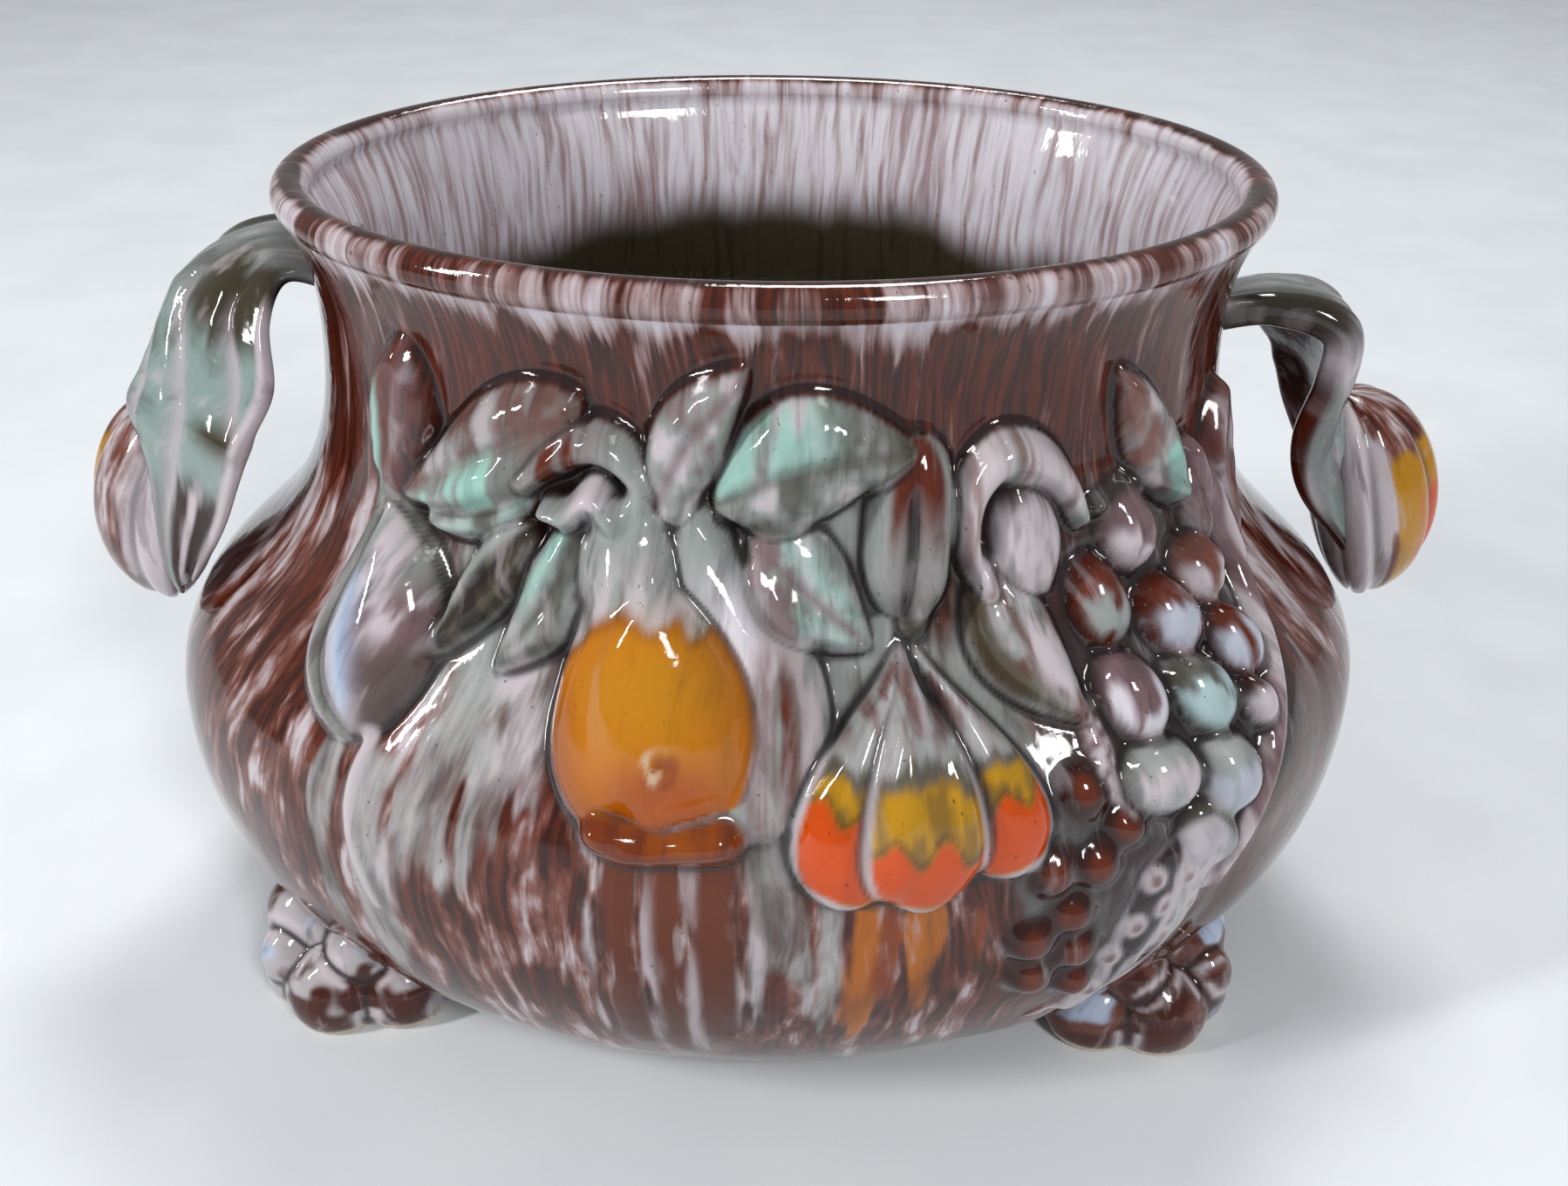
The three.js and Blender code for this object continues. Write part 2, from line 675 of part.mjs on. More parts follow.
const garland = makeGarland();
const handleLeaf = largestBody(toSolid(loft(handleSections(0))).subtract(trimBowl));
const handleFruit = makeHandleFruit(toSolid(loft(handleSections(SEAM))));
const rightFoot = makeFoot(RIGHT_FOOT, 1);
const leftFoot = makeFoot(LEFT_FOOT, -1);

// The back half is the front half turned half way round, so its right foot ends up on the left.
const halves = [
  { side: 'front', hand: 'right', otherHand: 'left', turn: 0 },
  { side: 'back', hand: 'left', otherHand: 'right', turn: Math.PI },
];
halves.forEach(({ side, hand, otherHand, turn }) => {
  const half = new THREE.Group();
  half.rotation.z = turn;
  garland.forEach(({ name, solid, clay }) => addMesh(half, `${side}_${name}`, solid, glazed(CLAY[clay])));
  addMesh(half, `handle_${hand}_leaf`, handleLeaf, glazed(CLAY.mint));
  addMesh(half, `handle_${hand}_fruit`, handleFruit, glazed(CLAY.orange));
  addMesh(half, `foot_${side}_${hand}`, rightFoot, glazed(CLAY.plum));
  addMesh(half, `foot_${side}_${otherHand}`, leftFoot, glazed(CLAY.plum));
  planter.add(half);
});

export default planter;
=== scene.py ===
import math

import bpy
import numpy as np
from mathutils import Matrix, Vector


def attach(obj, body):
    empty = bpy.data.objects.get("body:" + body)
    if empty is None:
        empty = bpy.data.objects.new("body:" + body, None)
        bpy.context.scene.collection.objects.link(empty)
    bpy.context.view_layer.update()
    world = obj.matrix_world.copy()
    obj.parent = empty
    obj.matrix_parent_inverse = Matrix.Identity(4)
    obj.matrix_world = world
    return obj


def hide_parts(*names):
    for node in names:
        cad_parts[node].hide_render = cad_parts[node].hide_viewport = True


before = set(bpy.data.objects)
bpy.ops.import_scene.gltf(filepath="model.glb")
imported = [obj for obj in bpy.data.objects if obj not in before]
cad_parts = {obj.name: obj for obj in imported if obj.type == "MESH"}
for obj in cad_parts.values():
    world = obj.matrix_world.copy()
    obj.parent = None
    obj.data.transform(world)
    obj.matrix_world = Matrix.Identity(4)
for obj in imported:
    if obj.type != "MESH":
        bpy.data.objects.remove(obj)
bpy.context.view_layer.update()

MM = 0.001

# The bowl's sizes in millimetres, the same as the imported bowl's
HEIGHT = 219.6
BASE_LENGTH, BASE_DEPTH, BASE_LIFT = 224, 162, 7
BELLY_LENGTH, BELLY_DEPTH, BELLY_HEIGHT = 329, 238, 78
NECK_LENGTH, NECK_DEPTH, NECK_HEIGHT = 226, 164, 188
RIM_LENGTH, RIM_DEPTH = 240, 178
LIP_RADIUS = 4.4
WALL = 6.5
FLOOR = 7
UNDER_FULLNESS, OVER_FULLNESS, NECK_EASE, FLARE_EASE = 0.55, 50, 75, 10
LIP_START, LIP_END = -math.pi / 4, math.pi

# Mesh fineness: columns round half of the bowl, rows up its outer wall, over its lip and down its
# inside, and how much finer the relief is worked out before it is averaged
HALF_COLUMNS, WALL_ROWS, LIP_ROWS, INNER_ROWS = 460, 250, 22, 150
FINER = 2
CURVE_STEPS = 160
SHARE_STEP = 0.01

SEED = 7


# Glaze colours as they look under plain light
def srgb(red, green, blue):
    channels = np.array([red, green, blue]) / 255.0
    return np.where(channels <= 0.04045, channels / 12.92, ((channels + 0.055) / 1.055) ** 2.4)


CHESTNUT = srgb(88, 34, 17)
CHESTNUT_DARK = srgb(46, 18, 11)
ROSE_BROWN = srgb(112, 68, 58)
LILAC_WHITE = srgb(182, 172, 176)
PEARL = srgb(203, 198, 206)
DUSTY = srgb(142, 119, 120)
GREY_GREEN = srgb(138, 143, 140)
SAGE_DARK = srgb(72, 70, 62)
MINT = srgb(142, 182, 170)
MAUVE = srgb(112, 88, 92)
ICE_BLUE = srgb(158, 174, 196)
CREVICE = srgb(32, 23, 24)
AMBER = srgb(174, 98, 2)
AMBER_DEEP = srgb(120, 50, 8)
ORANGE = srgb(190, 68, 0)
YELLOW = srgb(170, 124, 16)
OLIVE = srgb(70, 62, 46)
CREAM = srgb(196, 178, 152)
MAUVE_GREEN = MAUVE * 0.5 + GREY_GREEN * 0.5
PALE_BLUE = ICE_BLUE * 0.5 + LILAC_WHITE * 0.5
PALE_MINT = MINT * 0.5 + ICE_BLUE * 0.3 + LILAC_WHITE * 0.2


def smooth(low, high, x):
    """0 at low and 1 at high, eased at both; low may be the larger one."""
    t = np.clip((x - low) / (high - low), 0, 1)
    return t * t * (3 - 2 * t)


def bell(x, centre, width):
    """1 at the centre, dying away over the width on both sides."""
    return np.exp(-(((x - centre) / width) ** 2))


# The outer wall's meridian: rows of half length, half depth and height against w, the distance
# up the wall from the belly line
def bezier(points, count):
    t = np.linspace(0, 1, count)[:, None]
    a, b, c, d = [np.array(point, float) for point in points]
    return (1 - t) ** 3 * a + 3 * (1 - t) ** 2 * t * b + 3 * (1 - t) * t**2 * c + t**3 * d


BASE_RING = np.array([BASE_LENGTH / 2, BASE_DEPTH / 2, BASE_LIFT])
BELLY_RING = np.array([BELLY_LENGTH / 2, BELLY_DEPTH / 2, BELLY_HEIGHT])
NECK_RING = np.array([NECK_LENGTH / 2, NECK_DEPTH / 2, NECK_HEIGHT])
LIP_CENTRE = np.array([RIM_LENGTH / 2, RIM_DEPTH / 2, HEIGHT]) - LIP_RADIUS
UP = np.array([0.0, 0.0, 1.0])


def lip_ring(angle):
    side = LIP_RADIUS * np.cos(angle)
    return LIP_CENTRE + np.stack([side, side, LIP_RADIUS * np.sin(angle)], axis=-1)


def make_meridian():
    lip_foot = lip_ring(LIP_START)
    under_side = BASE_RING + UNDER_FULLNESS * (BELLY_RING - BASE_RING) * (1 - UP)
    under_belly = BELLY_RING - UNDER_FULLNESS * (BELLY_HEIGHT - BASE_LIFT) * UP
    under_lip = (NECK_RING + lip_foot) / 2
    under_lip[2] = lip_foot[2] - FLARE_EASE / 2
    curves = [
        (BASE_RING, under_side, under_belly, BELLY_RING),
        (BELLY_RING, BELLY_RING + OVER_FULLNESS * UP, NECK_RING - NECK_EASE * UP, NECK_RING),
        (NECK_RING, NECK_RING + FLARE_EASE * UP, under_lip, lip_foot),
    ]
    rings = [bezier(curve, CURVE_STEPS)[(0 if k == 0 else 1):] for k, curve in enumerate(curves)]
    rings = np.concatenate(rings)
    change = np.diff(rings, axis=0)
    steps = np.hypot((change[:, 0] + change[:, 1]) / 2, change[:, 2])
    run = np.concatenate([[0], np.cumsum(steps)])
    return rings, run - run[CURVE_STEPS - 1]


RINGS, RING_W = make_meridian()
WALL_FOOT, WALL_TOP = RING_W[0], RING_W[-1]


def ring_at(w):
    held = np.clip(w, WALL_FOOT, WALL_TOP)
    return np.stack([np.interp(held, RING_W, RINGS[:, k]) for k in range(3)], axis=-1)


def slope_at(w):
    """How far the wall faces outward and upward at w."""
    low, high = ring_at(np.asarray(w) - 1), ring_at(np.asarray(w) + 1)
    outward = high[..., 2] - low[..., 2]
    upward = -(high[..., 0] + high[..., 1] - low[..., 0] - low[..., 1]) / 2
    size = np.hypot(outward, upward)
    return outward / size, upward / size


# Places round the bowl: p runs round the belly ring from the front centre towards +X
TURNS = np.linspace(-math.pi / 2, 1.5 * math.pi, 4097)
BELLY_STEPS = np.hypot(
    np.diff(BELLY_RING[0] * np.cos(TURNS)), np.diff(BELLY_RING[1] * np.sin(TURNS))
)
BELLY_RUN = np.concatenate([[0], np.cumsum(BELLY_STEPS)])
PERIMETER = BELLY_RUN[-1]
HALF_WAY = PERIMETER / 2
SIDE = PERIMETER / 4


def wall_point(p, w, out=0.0):
    """The point at p and w, and out millimetres off the wall."""
    turn = np.interp(np.mod(p, PERIMETER), BELLY_RUN, TURNS)
    cos, sin = np.cos(turn), np.sin(turn)
    ring = ring_at(w)
    outward, upward = slope_at(w)
    side_x, side_y = cos / ring[..., 0], sin / ring[..., 1]
    reach = out * outward / np.hypot(side_x, side_y)
    return np.stack(
        [ring[..., 0] * cos + reach * side_x, ring[..., 1] * sin + reach * side_y,
         ring[..., 2] + out * upward],
        axis=-1,
    )


# Smooth random fields over p and w that repeat every half turn
FIELD_ROWS, FIELD_START = 96, -400


def field(p, w, cell_p, cell_w, seed):
    across = max(2, round(HALF_WAY / cell_p))
    values = np.random.default_rng(SEED * 100 + seed).random((across, FIELD_ROWS + 1))
    x = np.mod(p / HALF_WAY, 1) * across
    y = np.mod((w - FIELD_START) / cell_w, FIELD_ROWS)
    i, j = np.floor(x).astype(int), np.floor(y).astype(int)
    fx, fy = [s * s * s * (s * (6 * s - 15) + 10) for s in (x - i, y - j)]
    left, right = i % across, (i + 1) % across
    low = values[left, j] * (1 - fx) + values[right, j] * fx
    high = values[left, j + 1] * (1 - fx) + values[right, j + 1] * fx
    return low * (1 - fy) + high * fy


def fractal(p, w, cell_p, cell_w, seed, octaves=3):
    shares = [0.5**k for k in range(octaves)]
    total = sum(field(p, w, cell_p * x, cell_w * x, seed + 11 * k) * x for k, x in enumerate(shares))
    return total / sum(shares)


def blur(values, sigma):
    """Blurs the rows, which end, and the columns, which run on round the bowl."""
    reach = math.ceil(3 * sigma)
    kernel = np.exp(-0.5 * (np.arange(-reach, reach + 1) / sigma) ** 2)
    kernel /= kernel.sum()
    for axis, mode in ((0, "edge"), (1, "wrap")):
        padding = [(0, 0), (0, 0)]
        padding[axis] = (reach, reach)
        padded = np.pad(values, padding, mode=mode)
        shifts = [np.arange(values.shape[axis]) + i for i in range(len(kernel))]
        values = sum(k * padded.take(shift, axis) for k, shift in zip(kernel, shifts))
    return values


# The front half's grid
FINE_COLUMNS, FINE_ROWS = HALF_COLUMNS * FINER, WALL_ROWS * FINER
FINE_P = -SIDE + (np.arange(FINE_COLUMNS) + 0.5) * HALF_WAY / FINE_COLUMNS
FINE_W = WALL_FOOT + (np.arange(FINE_ROWS) + 0.5) * (WALL_TOP - WALL_FOOT) / FINE_ROWS
P, W = np.meshgrid(FINE_P, FINE_W)
WHOLE = (slice(None), slice(None))
RAGGED = fractal(P, W, 7, 34, 3)
RAGGED_FINE = fractal(P, W, 2.6, 20, 5)


class Coat:
    """The glaze on a grid of points: a tint, how far it covers the base coat, and dark lines."""

    def __init__(self, shape, colour=MAUVE):
        self.tint = np.tile(colour, shape + (1,))
        self.cover = np.zeros(shape)
        self.line = np.zeros(shape)

    def dab(self, mask, colour, cover, at=WHOLE):
        """Lays a colour on: the mask is 1 where it lies thick and 0 where there is none."""
        mask = np.clip(mask, 0, 1)
        whole = self.cover[at] * (1 - mask) + cover * mask
        share = (cover * mask / np.maximum(whole, 1e-6))[..., None]
        self.tint[at] = self.tint[at] * (1 - share) + colour * share
        self.cover[at] = whole


class Relief(Coat):
    """The modelled front half: its glaze, and its height over the plain bowl."""

    def __init__(self):
        super().__init__(P.shape)
        self.height = np.zeros(P.shape)


relief = Relief()


# Painting tools on the front half
def spot(centre, half_p, half_w, tilt=0.0, soft=0.35, at=WHOLE):
    """A soft oval."""
    turn = math.radians(tilt)
    dx, dy = P[at] - centre[0], W[at] - centre[1]
    x = (dx * math.cos(turn) - dy * math.sin(turn)) / half_p
    y = (dx * math.sin(turn) + dy * math.cos(turn)) / half_w
    return smooth(1 + soft, 1 - soft, np.hypot(x, y))


def run_down(centre_p, top, bottom, width, seed, ragged=14.0):
    """A run of glaze with ragged sides and a frayed lower end."""
    sway = 4 * (field(P, W, 40, 60, seed) - 0.5)
    fray = ragged * (fractal(P, W, 5, 60, seed + 1) - 0.5) * 2
    away = np.abs(P - centre_p - sway) + 6 * (RAGGED_FINE - 0.5)
    side = smooth(width / 2 + 1.6, width / 2 - 1.6, away)
    return side * smooth(bottom - 7, bottom + 7, W + fray) * smooth(top + 5, top - 5, W)


# Outlines of pieces: their half width against t, the share of the way from stem to tip
def hump(t, centre, reach):
    return np.sqrt(np.maximum(0, 1 - ((t - centre) / reach) ** 2))


def leaf_outline(t):
    return np.maximum(0, np.sin(math.pi * t**0.8)) ** 0.8


def almond_outline(t):
    return np.maximum(0, np.sin(math.pi * t**1.15)) ** 0.75


def pear_outline(t):
    return np.cbrt(hump(t, 0.69, 0.40) ** 3 + (0.56 * hump(t, 0.26, 0.30)) ** 3)


def plump_outline(t):
    return np.cbrt(hump(t, 0.6, 0.42) ** 3 + (0.45 * hump(t, 0.25, 0.27)) ** 3)


def pod_outline(t):
    return np.maximum(0, 1 - (2 * t - 1) ** 4) ** 0.5


def drop_outline(t):
    belly = 0.76
    neck = np.sin(0.5 * math.pi * np.minimum(t, belly) / belly) ** 1.5
    return np.where(t < belly, neck, hump(t, belly, 1 - belly))


def curve_through(points, shares):
    """Places on a centripetal Catmull-Rom curve through the points."""
    points = np.array(points, float)
    ends = [2 * points[0] - points[1]], [2 * points[-1] - points[-2]]
    points = np.concatenate([ends[0], points, ends[1]])
    steps = np.linalg.norm(np.diff(points, axis=0), axis=1) ** 0.5
    knots = np.concatenate([[0], np.cumsum(steps)])
    spans = len(points) - 3
    place = np.clip(shares, 0, 1) * spans
    k = np.minimum(place.astype(int), spans - 1)
    x = knots[k + 1] + (place - k) * (knots[k + 2] - knots[k + 1])

    def between(i, j, first, second):
        share = ((x - knots[k + i]) / (knots[k + j] - knots[k + i]))[..., None]
        return first * (1 - share) + second * share

    lines = [between(i, i + 1, points[k + i], points[k + i + 1]) for i in range(3)]
    return between(1, 2, between(0, 2, *lines[:2]), between(1, 3, *lines[1:]))


# What a piece does to the wall at its outline
GROOVE_DEPTH, GROOVE_WIDTH = 1.2, 2.1
UNDERLAY = 0.3
EDGE_RISE = 1.6


class Piece:
    """A clay piece on the relief: the window of the grid it lies in, and where it covers that."""

    def __init__(self, low, high):
        """low and high are the window's corners, each a p and a w."""
        rows = slice(*np.searchsorted(FINE_W, [low[1], high[1]]))
        columns = slice(*np.searchsorted(FINE_P, [low[0], high[0]]))
        self.at = rows, columns
        self.p, self.w = P[self.at], W[self.at]
        self.ragged, self.fine = RAGGED[self.at], RAGGED_FINE[self.at]

    def press(self, edge, rise, groove=1.0):
        """Lays the piece on: edge is the distance to its outline, below zero inside it."""
        self.inside = smooth(0.9, -1.1, edge)
        under = relief.height[self.at]
        over = rise + UNDERLAY * np.maximum(under, 0)
        ring = np.clip(1 - np.abs(edge - 0.4 * GROOVE_WIDTH) / GROOVE_WIDTH, 0, 1) ** 2
        bare = 1 - self.inside
        relief.height[self.at] = under * bare + over * self.inside - groove * GROOVE_DEPTH * ring
        relief.line[self.at] = np.maximum(relief.line[self.at] * bare, groove * ring)

    def swell(self, height):
        relief.height[self.at] += self.inside * height

    def paint(self, mask, colour, cover):
        relief.dab(self.inside * mask, colour, cover, self.at)

    def spot(self, centre, half_p, half_w, tilt=0.0, soft=0.35):
        return spot(centre, half_p, half_w, tilt, soft, self.at)

    def noise(self, cell_p, cell_w, seed):
        return fractal(self.p, self.w, cell_p, cell_w, seed)


class Form(Piece):
    """A piece about a middle line: t runs from stem to tip, and c from one side to the other."""

    def __init__(self, outline, stem, heading, length, width, bend):
        reach = length + width
        super().__init__((stem[0] - reach, stem[1] - reach), (stem[0] + reach, stem[1] + reach))
        turn = math.radians(heading)
        dx, dy = self.p - stem[0], self.w - stem[1]
        run = dx * math.sin(turn) + dy * math.cos(turn)
        self.t = np.clip(run / length, 0, 1)
        across = dx * math.cos(turn) - dy * math.sin(turn)
        self.lateral = across - bend * 4 * self.t * (1 - self.t)
        half = width / 2 * outline(self.t)
        high, low = np.minimum(self.t + SHARE_STEP, 1), np.maximum(self.t - SHARE_STEP, 0)
        steepness = width / 2 * (outline(high) - outline(low)) / ((high - low) * length)
        beside = (np.abs(self.lateral) - half) / np.sqrt(1 + steepness**2)
        beyond = np.maximum(run - length, -run)
        self.edge = np.where(beyond > 0, np.hypot(self.lateral, beyond), beside)
        self.c = np.clip(self.lateral / np.maximum(half, 0.5), -1, 1)


def lay_leaf(
    stem, heading, length, width, rise, colour, deep, cover=0.85, bend=0.0, rib=1.0, mint=0.0, light=0.5
):
    """A fleshy leaf with a sunk midrib, pale on its swollen halves and deep in the midrib."""
    leaf = Form(leaf_outline, stem, heading, length, width, bend)
    t, c, side = leaf.t, leaf.c, np.abs(leaf.c)
    swell = (1 - side**3.2) ** 0.7 * (0.5 + 0.5 * np.sin(math.pi * t) ** 0.6)
    midrib = 1.9 * bell(leaf.lateral, 0, 1.7) * np.sin(math.pi * np.clip(t * 1.05, 0, 1))
    slant = np.cos(2 * math.pi * (t * length / 8.5 - np.abs(leaf.lateral) / 7.5))
    veins = 0.45 * slant * np.sin(math.pi * side) * smooth(0.95, 0.6, side)
    height = EDGE_RISE + (rise - EDGE_RISE) * swell + rib * (veins * swell - midrib)
    leaf.press(leaf.edge, height)
    leaf.inside = smooth(0.5, -1.5, leaf.edge)
    noise = leaf.noise(6, 10, 61)
    leaf.paint(1, colour, cover * 0.8)
    leaf.paint(smooth(0.46, 0.7, noise) * 0.8, deep, cover)
    leaf.paint(smooth(0.44, 0.3, noise) * light, LILAC_WHITE, cover)
    leaf.paint(bell(leaf.lateral, 0, 1.6) * 0.7, deep, cover)
    leaf.paint(bell(side, 0.45, 0.3) * smooth(0.7, 0.4, noise) * mint, MINT, 0.95)
    leaf.inside = smooth(0, -2, leaf.edge)
    return leaf


def lay_dome(outline, stem, heading, length, width, rise, bend=0.0, fullness=2.2):
    """A rounded fruit that swells from its outline."""
    dome = Form(outline, stem, heading, length, width, bend)
    lengthwise = np.sin(math.pi * np.clip(dome.t, 0.06, 0.94)) ** 0.5
    across = (1 - np.abs(dome.c) ** fullness) ** 0.55
    dome.press(dome.edge, EDGE_RISE + (rise - EDGE_RISE) * across * lengthwise)
    return dome


def lay_oval(p, w, half_p, half_w, rise, groove=1.0, power=0.6):
    """A berry or a round lump."""
    reach = max(half_p, half_w) + 8
    oval = Piece((p - reach, w - reach), (p + reach, w + reach))
    oval.up = (oval.w - w) / half_w
    oval.radius = np.hypot((oval.p - p) / half_p, oval.up)
    height = rise * np.maximum(0, 1 - np.minimum(oval.radius, 1) ** 2) ** power
    oval.press((oval.radius - 1) * min(half_p, half_w), height, groove)
    return oval


def lay_roll(points, widths, rise, groove=1.0):
    """A rolled band of clay along a line of places; share runs from its start to its end."""
    steps = np.linspace(0, 1, 5 * len(points))
    widths = np.interp(steps, np.linspace(0, 1, len(points)), widths)
    points = curve_through(points, steps)
    reach = max(widths) + 6
    roll = Piece(points.min(axis=0) - reach, points.max(axis=0) + reach)
    best = np.full(roll.p.shape, 1e9)
    half = np.full(roll.p.shape, widths[0] / 2)
    roll.share = np.zeros(roll.p.shape)
    for k in range(len(points) - 1):
        step = points[k + 1] - points[k]
        dx, dy = roll.p - points[k, 0], roll.w - points[k, 1]
        along = np.clip((dx * step[0] + dy * step[1]) / (step @ step), 0, 1)
        here = (widths[k] * (1 - along) + widths[k + 1] * along) / 2
        edge = np.hypot(dx - along * step[0], dy - along * step[1]) - here
        closer = edge < best
        best = np.where(closer, edge, best)
        half = np.where(closer, here, half)
        roll.share = np.where(closer, (k + along) / (len(points) - 1), roll.share)
    radius = np.clip(1 + best / half, 0, 1)
    roll.press(best, rise * np.maximum(0, 1 - radius**2) ** 0.55 + 0.8, groove)
    return roll


# Pools of grey-green glaze: centre, half sizes and strength
POOLS = [
    ((-96, 68), 28, 26, 0.6), ((-72, 62), 24, 26, 0.6), ((-20, 66), 44, 40, 0.8),
    ((12, 84), 34, 30, 0.9), ((30, 54), 26, 38, 0.7), ((62, 62), 18, 34, 0.6),
    ((118, 62), 34, 44, 0.4), ((62, 24), 10, 26, 0.8),
]
PALE_POOLS = [((-71, 50), 9, 15, 0.9), ((-64, 38), 5, 14, 0.7), ((-93, 2), 5, 12, 0.5)]
# Runs of glaze: p, top, bottom, width and seed, and for the drips a colour before them
POOL_RUNS = [
    (-114, 40, -24, 7, 31), (-101, 34, -28, 10, 33), (-86, 46, 8, 16, 35), (-72, 46, 12, 12, 37),
    (-3, 28, -12, 13, 39), (10, 18, -34, 7, 41), (62, 22, -26, 11, 43), (75, 8, -16, 6, 45),
]
DARK_RUNS = [(-37, 26, -50, 8, 89), (-26.5, 26, -52, 8.5, 89), (-16, 26, -46, 10, 91)]
PALE_RUNS = [
    (-31.8, 16, -44, 1.4, 91), (-31, -8, -30, 2.2, 91), (-45, 10, -46, 3, 91),
    (-21.2, 20, -44, 1.2, 87), (-7, 6, -34, 4, 87),
]
DRIPS = [
    (AMBER, 18, 14, -42, 7, 98), (AMBER_DEEP, 23, 8, -20, 4, 98),
    (AMBER, 34, 11, -24, 7, 99), (AMBER_DEEP, 46, 6, -10, 4, 96),
]


def paint_ground():
    """Grey-green pools among the pieces and the runs that leave them."""
    ragged = 1.1 * (RAGGED - 0.5) + 0.6 * (RAGGED_FINE - 0.5)
    for centre, half_p, half_w, strength in POOLS:
        mask = np.clip(spot(centre, half_p, half_w, soft=0.45) + ragged, 0, 1)
        relief.dab(strength * mask * spot(centre, half_p, half_w, soft=0.5), GREY_GREEN, 0.9)
    for run in POOL_RUNS:
        relief.dab(0.7 * run_down(*run), GREY_GREEN * 0.7 + LILAC_WHITE * 0.3, 0.8)
    for centre, half_p, half_w, strength in PALE_POOLS:
        patch = spot(centre, half_p, half_w, -14, soft=0.5) * smooth(0.3, 0.5, RAGGED)
        relief.dab(strength * patch, LILAC_WHITE, 0.95)


def lay_pear_runs():
    """The runs of glaze below the amber pear: three dark ones with pale glaze between them."""
    for run in DARK_RUNS:
        mask = run_down(*run, ragged=6)
        relief.dab(mask, CHESTNUT_DARK * 0.6 + AMBER_DEEP * 0.25, 1.0)
        relief.dab(mask * smooth(-46, 14, W) * 0.6, AMBER_DEEP * 0.7, 1.0)
        relief.height += 0.7 * mask
    for run in PALE_RUNS:
        relief.dab(0.75 * run_down(*run, ragged=10), LILAC_WHITE * 0.9, 0.92)


def lay_stems():
    stems = [
        ([(-60, 99), (-45, 104), (-30, 103), (-18, 97)], [5, 6, 6, 5], 4.5),
        ([(38, 76), (44, 84), (46, 96)], [8, 6, 5], 6),
        ([(100, 96), (112, 99), (126, 97), (140, 92)], [5, 5, 5, 4], 4),
        ([(-96, 98), (-110, 96), (-126, 94)], [5, 6, 6], 4.5),
    ]
    for stem in stems:
        lay_roll(*stem).paint(1, SAGE_DARK, 0.7)


def lay_far_side():
    """The fig in its husk at the left end, the leaf over it and the pale run below it."""
    lay_leaf((-124, 132), 191, 44, 26, 7.5, MAUVE, CHESTNUT, 0.55, rib=0.6)
    relief.dab(spot((-138, 104), 6, 20, 8) * smooth(0.35, 0.6, RAGGED), MINT, 0.85)
    husk = lay_dome(almond_outline, (-134, 98), 161, 69, 45, 7)
    husk.paint(1, GREY_GREEN * 0.5 + OLIVE * 0.5, 0.9)
    husk.paint(smooth(0.68, 0.9, husk.c) * smooth(0.15, 0.3, husk.t), LILAC_WHITE, 0.9)
    fig = lay_dome(almond_outline, (-129, 92), 158, 61, 34, 12, fullness=1.5)
    t, c = fig.t, fig.c
    fig.paint(1, MAUVE, 0.8)
    fig.paint(smooth(0.5, 0.25, t), GREY_GREEN, 0.9)
    streaks = smooth(0.42, 0.56, fig.noise(3.4, 24, 71)) * smooth(0.35, 0.0, c)
    fig.paint(streaks * smooth(0.75, 0.55, t), LILAC_WHITE, 0.95)
    shade = smooth(0.2, -0.2, c) * smooth(0.6, 0.75, t + 0.1 * (fig.ragged - 0.5))
    fig.paint(shade, OLIVE * 0.5 + MAUVE * 0.4, 0.95)
    band = bell(c, 0.42, 0.34) * smooth(0.2, 0.4, t) * smooth(0.97, 0.85, t)
    fig.paint(band, ICE_BLUE, 1.0)
    fig.paint(band * smooth(0.35, 0.5, c) * 0.6, LILAC_WHITE, 1.0)
    run = [(-105, 37), (-106, 22), (-104, 6), (-100, -10)]
    lay_roll(run, [3.6, 2.8, 2.2, 1.4], 1.8, 0.5).paint(1, LILAC_WHITE, 0.9)


def lay_crown():
    """The leaves between the fig and the amber pear."""
    lay_leaf((-75, 107), 247, 44, 20, 8, GREY_GREEN, SAGE_DARK, 0.9, rib=0.8, mint=0.35)
    pale, deep = MAUVE * 0.4 + GREY_GREEN * 0.6, ROSE_BROWN * 0.7
    leaf = lay_leaf((-61, 126), 244, 70, 26, 9, pale, deep, 0.9)
    lower = smooth(0.3, -0.3, leaf.c) * smooth(0.15, 0.4, leaf.t)
    leaf.paint(lower * 0.9, GREY_GREEN * 0.7 + OLIVE * 0.3, 0.9)
    leaf.paint(lower * smooth(0.46, 0.58, leaf.ragged), MINT, 0.9)
    leaf = lay_leaf((-76, 96), 212, 44, 18, 8, OLIVE, CREVICE, 0.9, bend=3, rib=0.7, light=0.2)
    leaf.paint(bell(leaf.c, 0.6, 0.25), GREY_GREEN, 0.9)
    leaf = lay_leaf((-61, 100), 205, 45, 22, 9.5, GREY_GREEN, SAGE_DARK, 0.9, bend=-3)
    leaf.paint(bell(leaf.c, 0.6, 0.3) * smooth(0.7, 0.4, leaf.t) * 0.8, MINT, 0.95)


def lay_vine_leaves():
    """The leaves at the right end of the garland."""
    lay_leaf((176, 112), 196, 52, 20, 6.5, MAUVE, CHESTNUT, 0.7, bend=3, rib=0.7)
    pale = GREY_GREEN * 0.6 + MAUVE * 0.4
    leaf = lay_leaf((139, 90), -38, 48, 21, 8, pale, ROSE_BROWN, 0.9, rib=0.7, light=1.0)
    leaf.paint(leaf.spot((131, 100), 6, 9), MINT, 0.8)
    lay_leaf((150, 104), 202, 38, 15, 6.0, MAUVE, ROSE_BROWN, 0.8, bend=-3, rib=0.7, light=1.0)


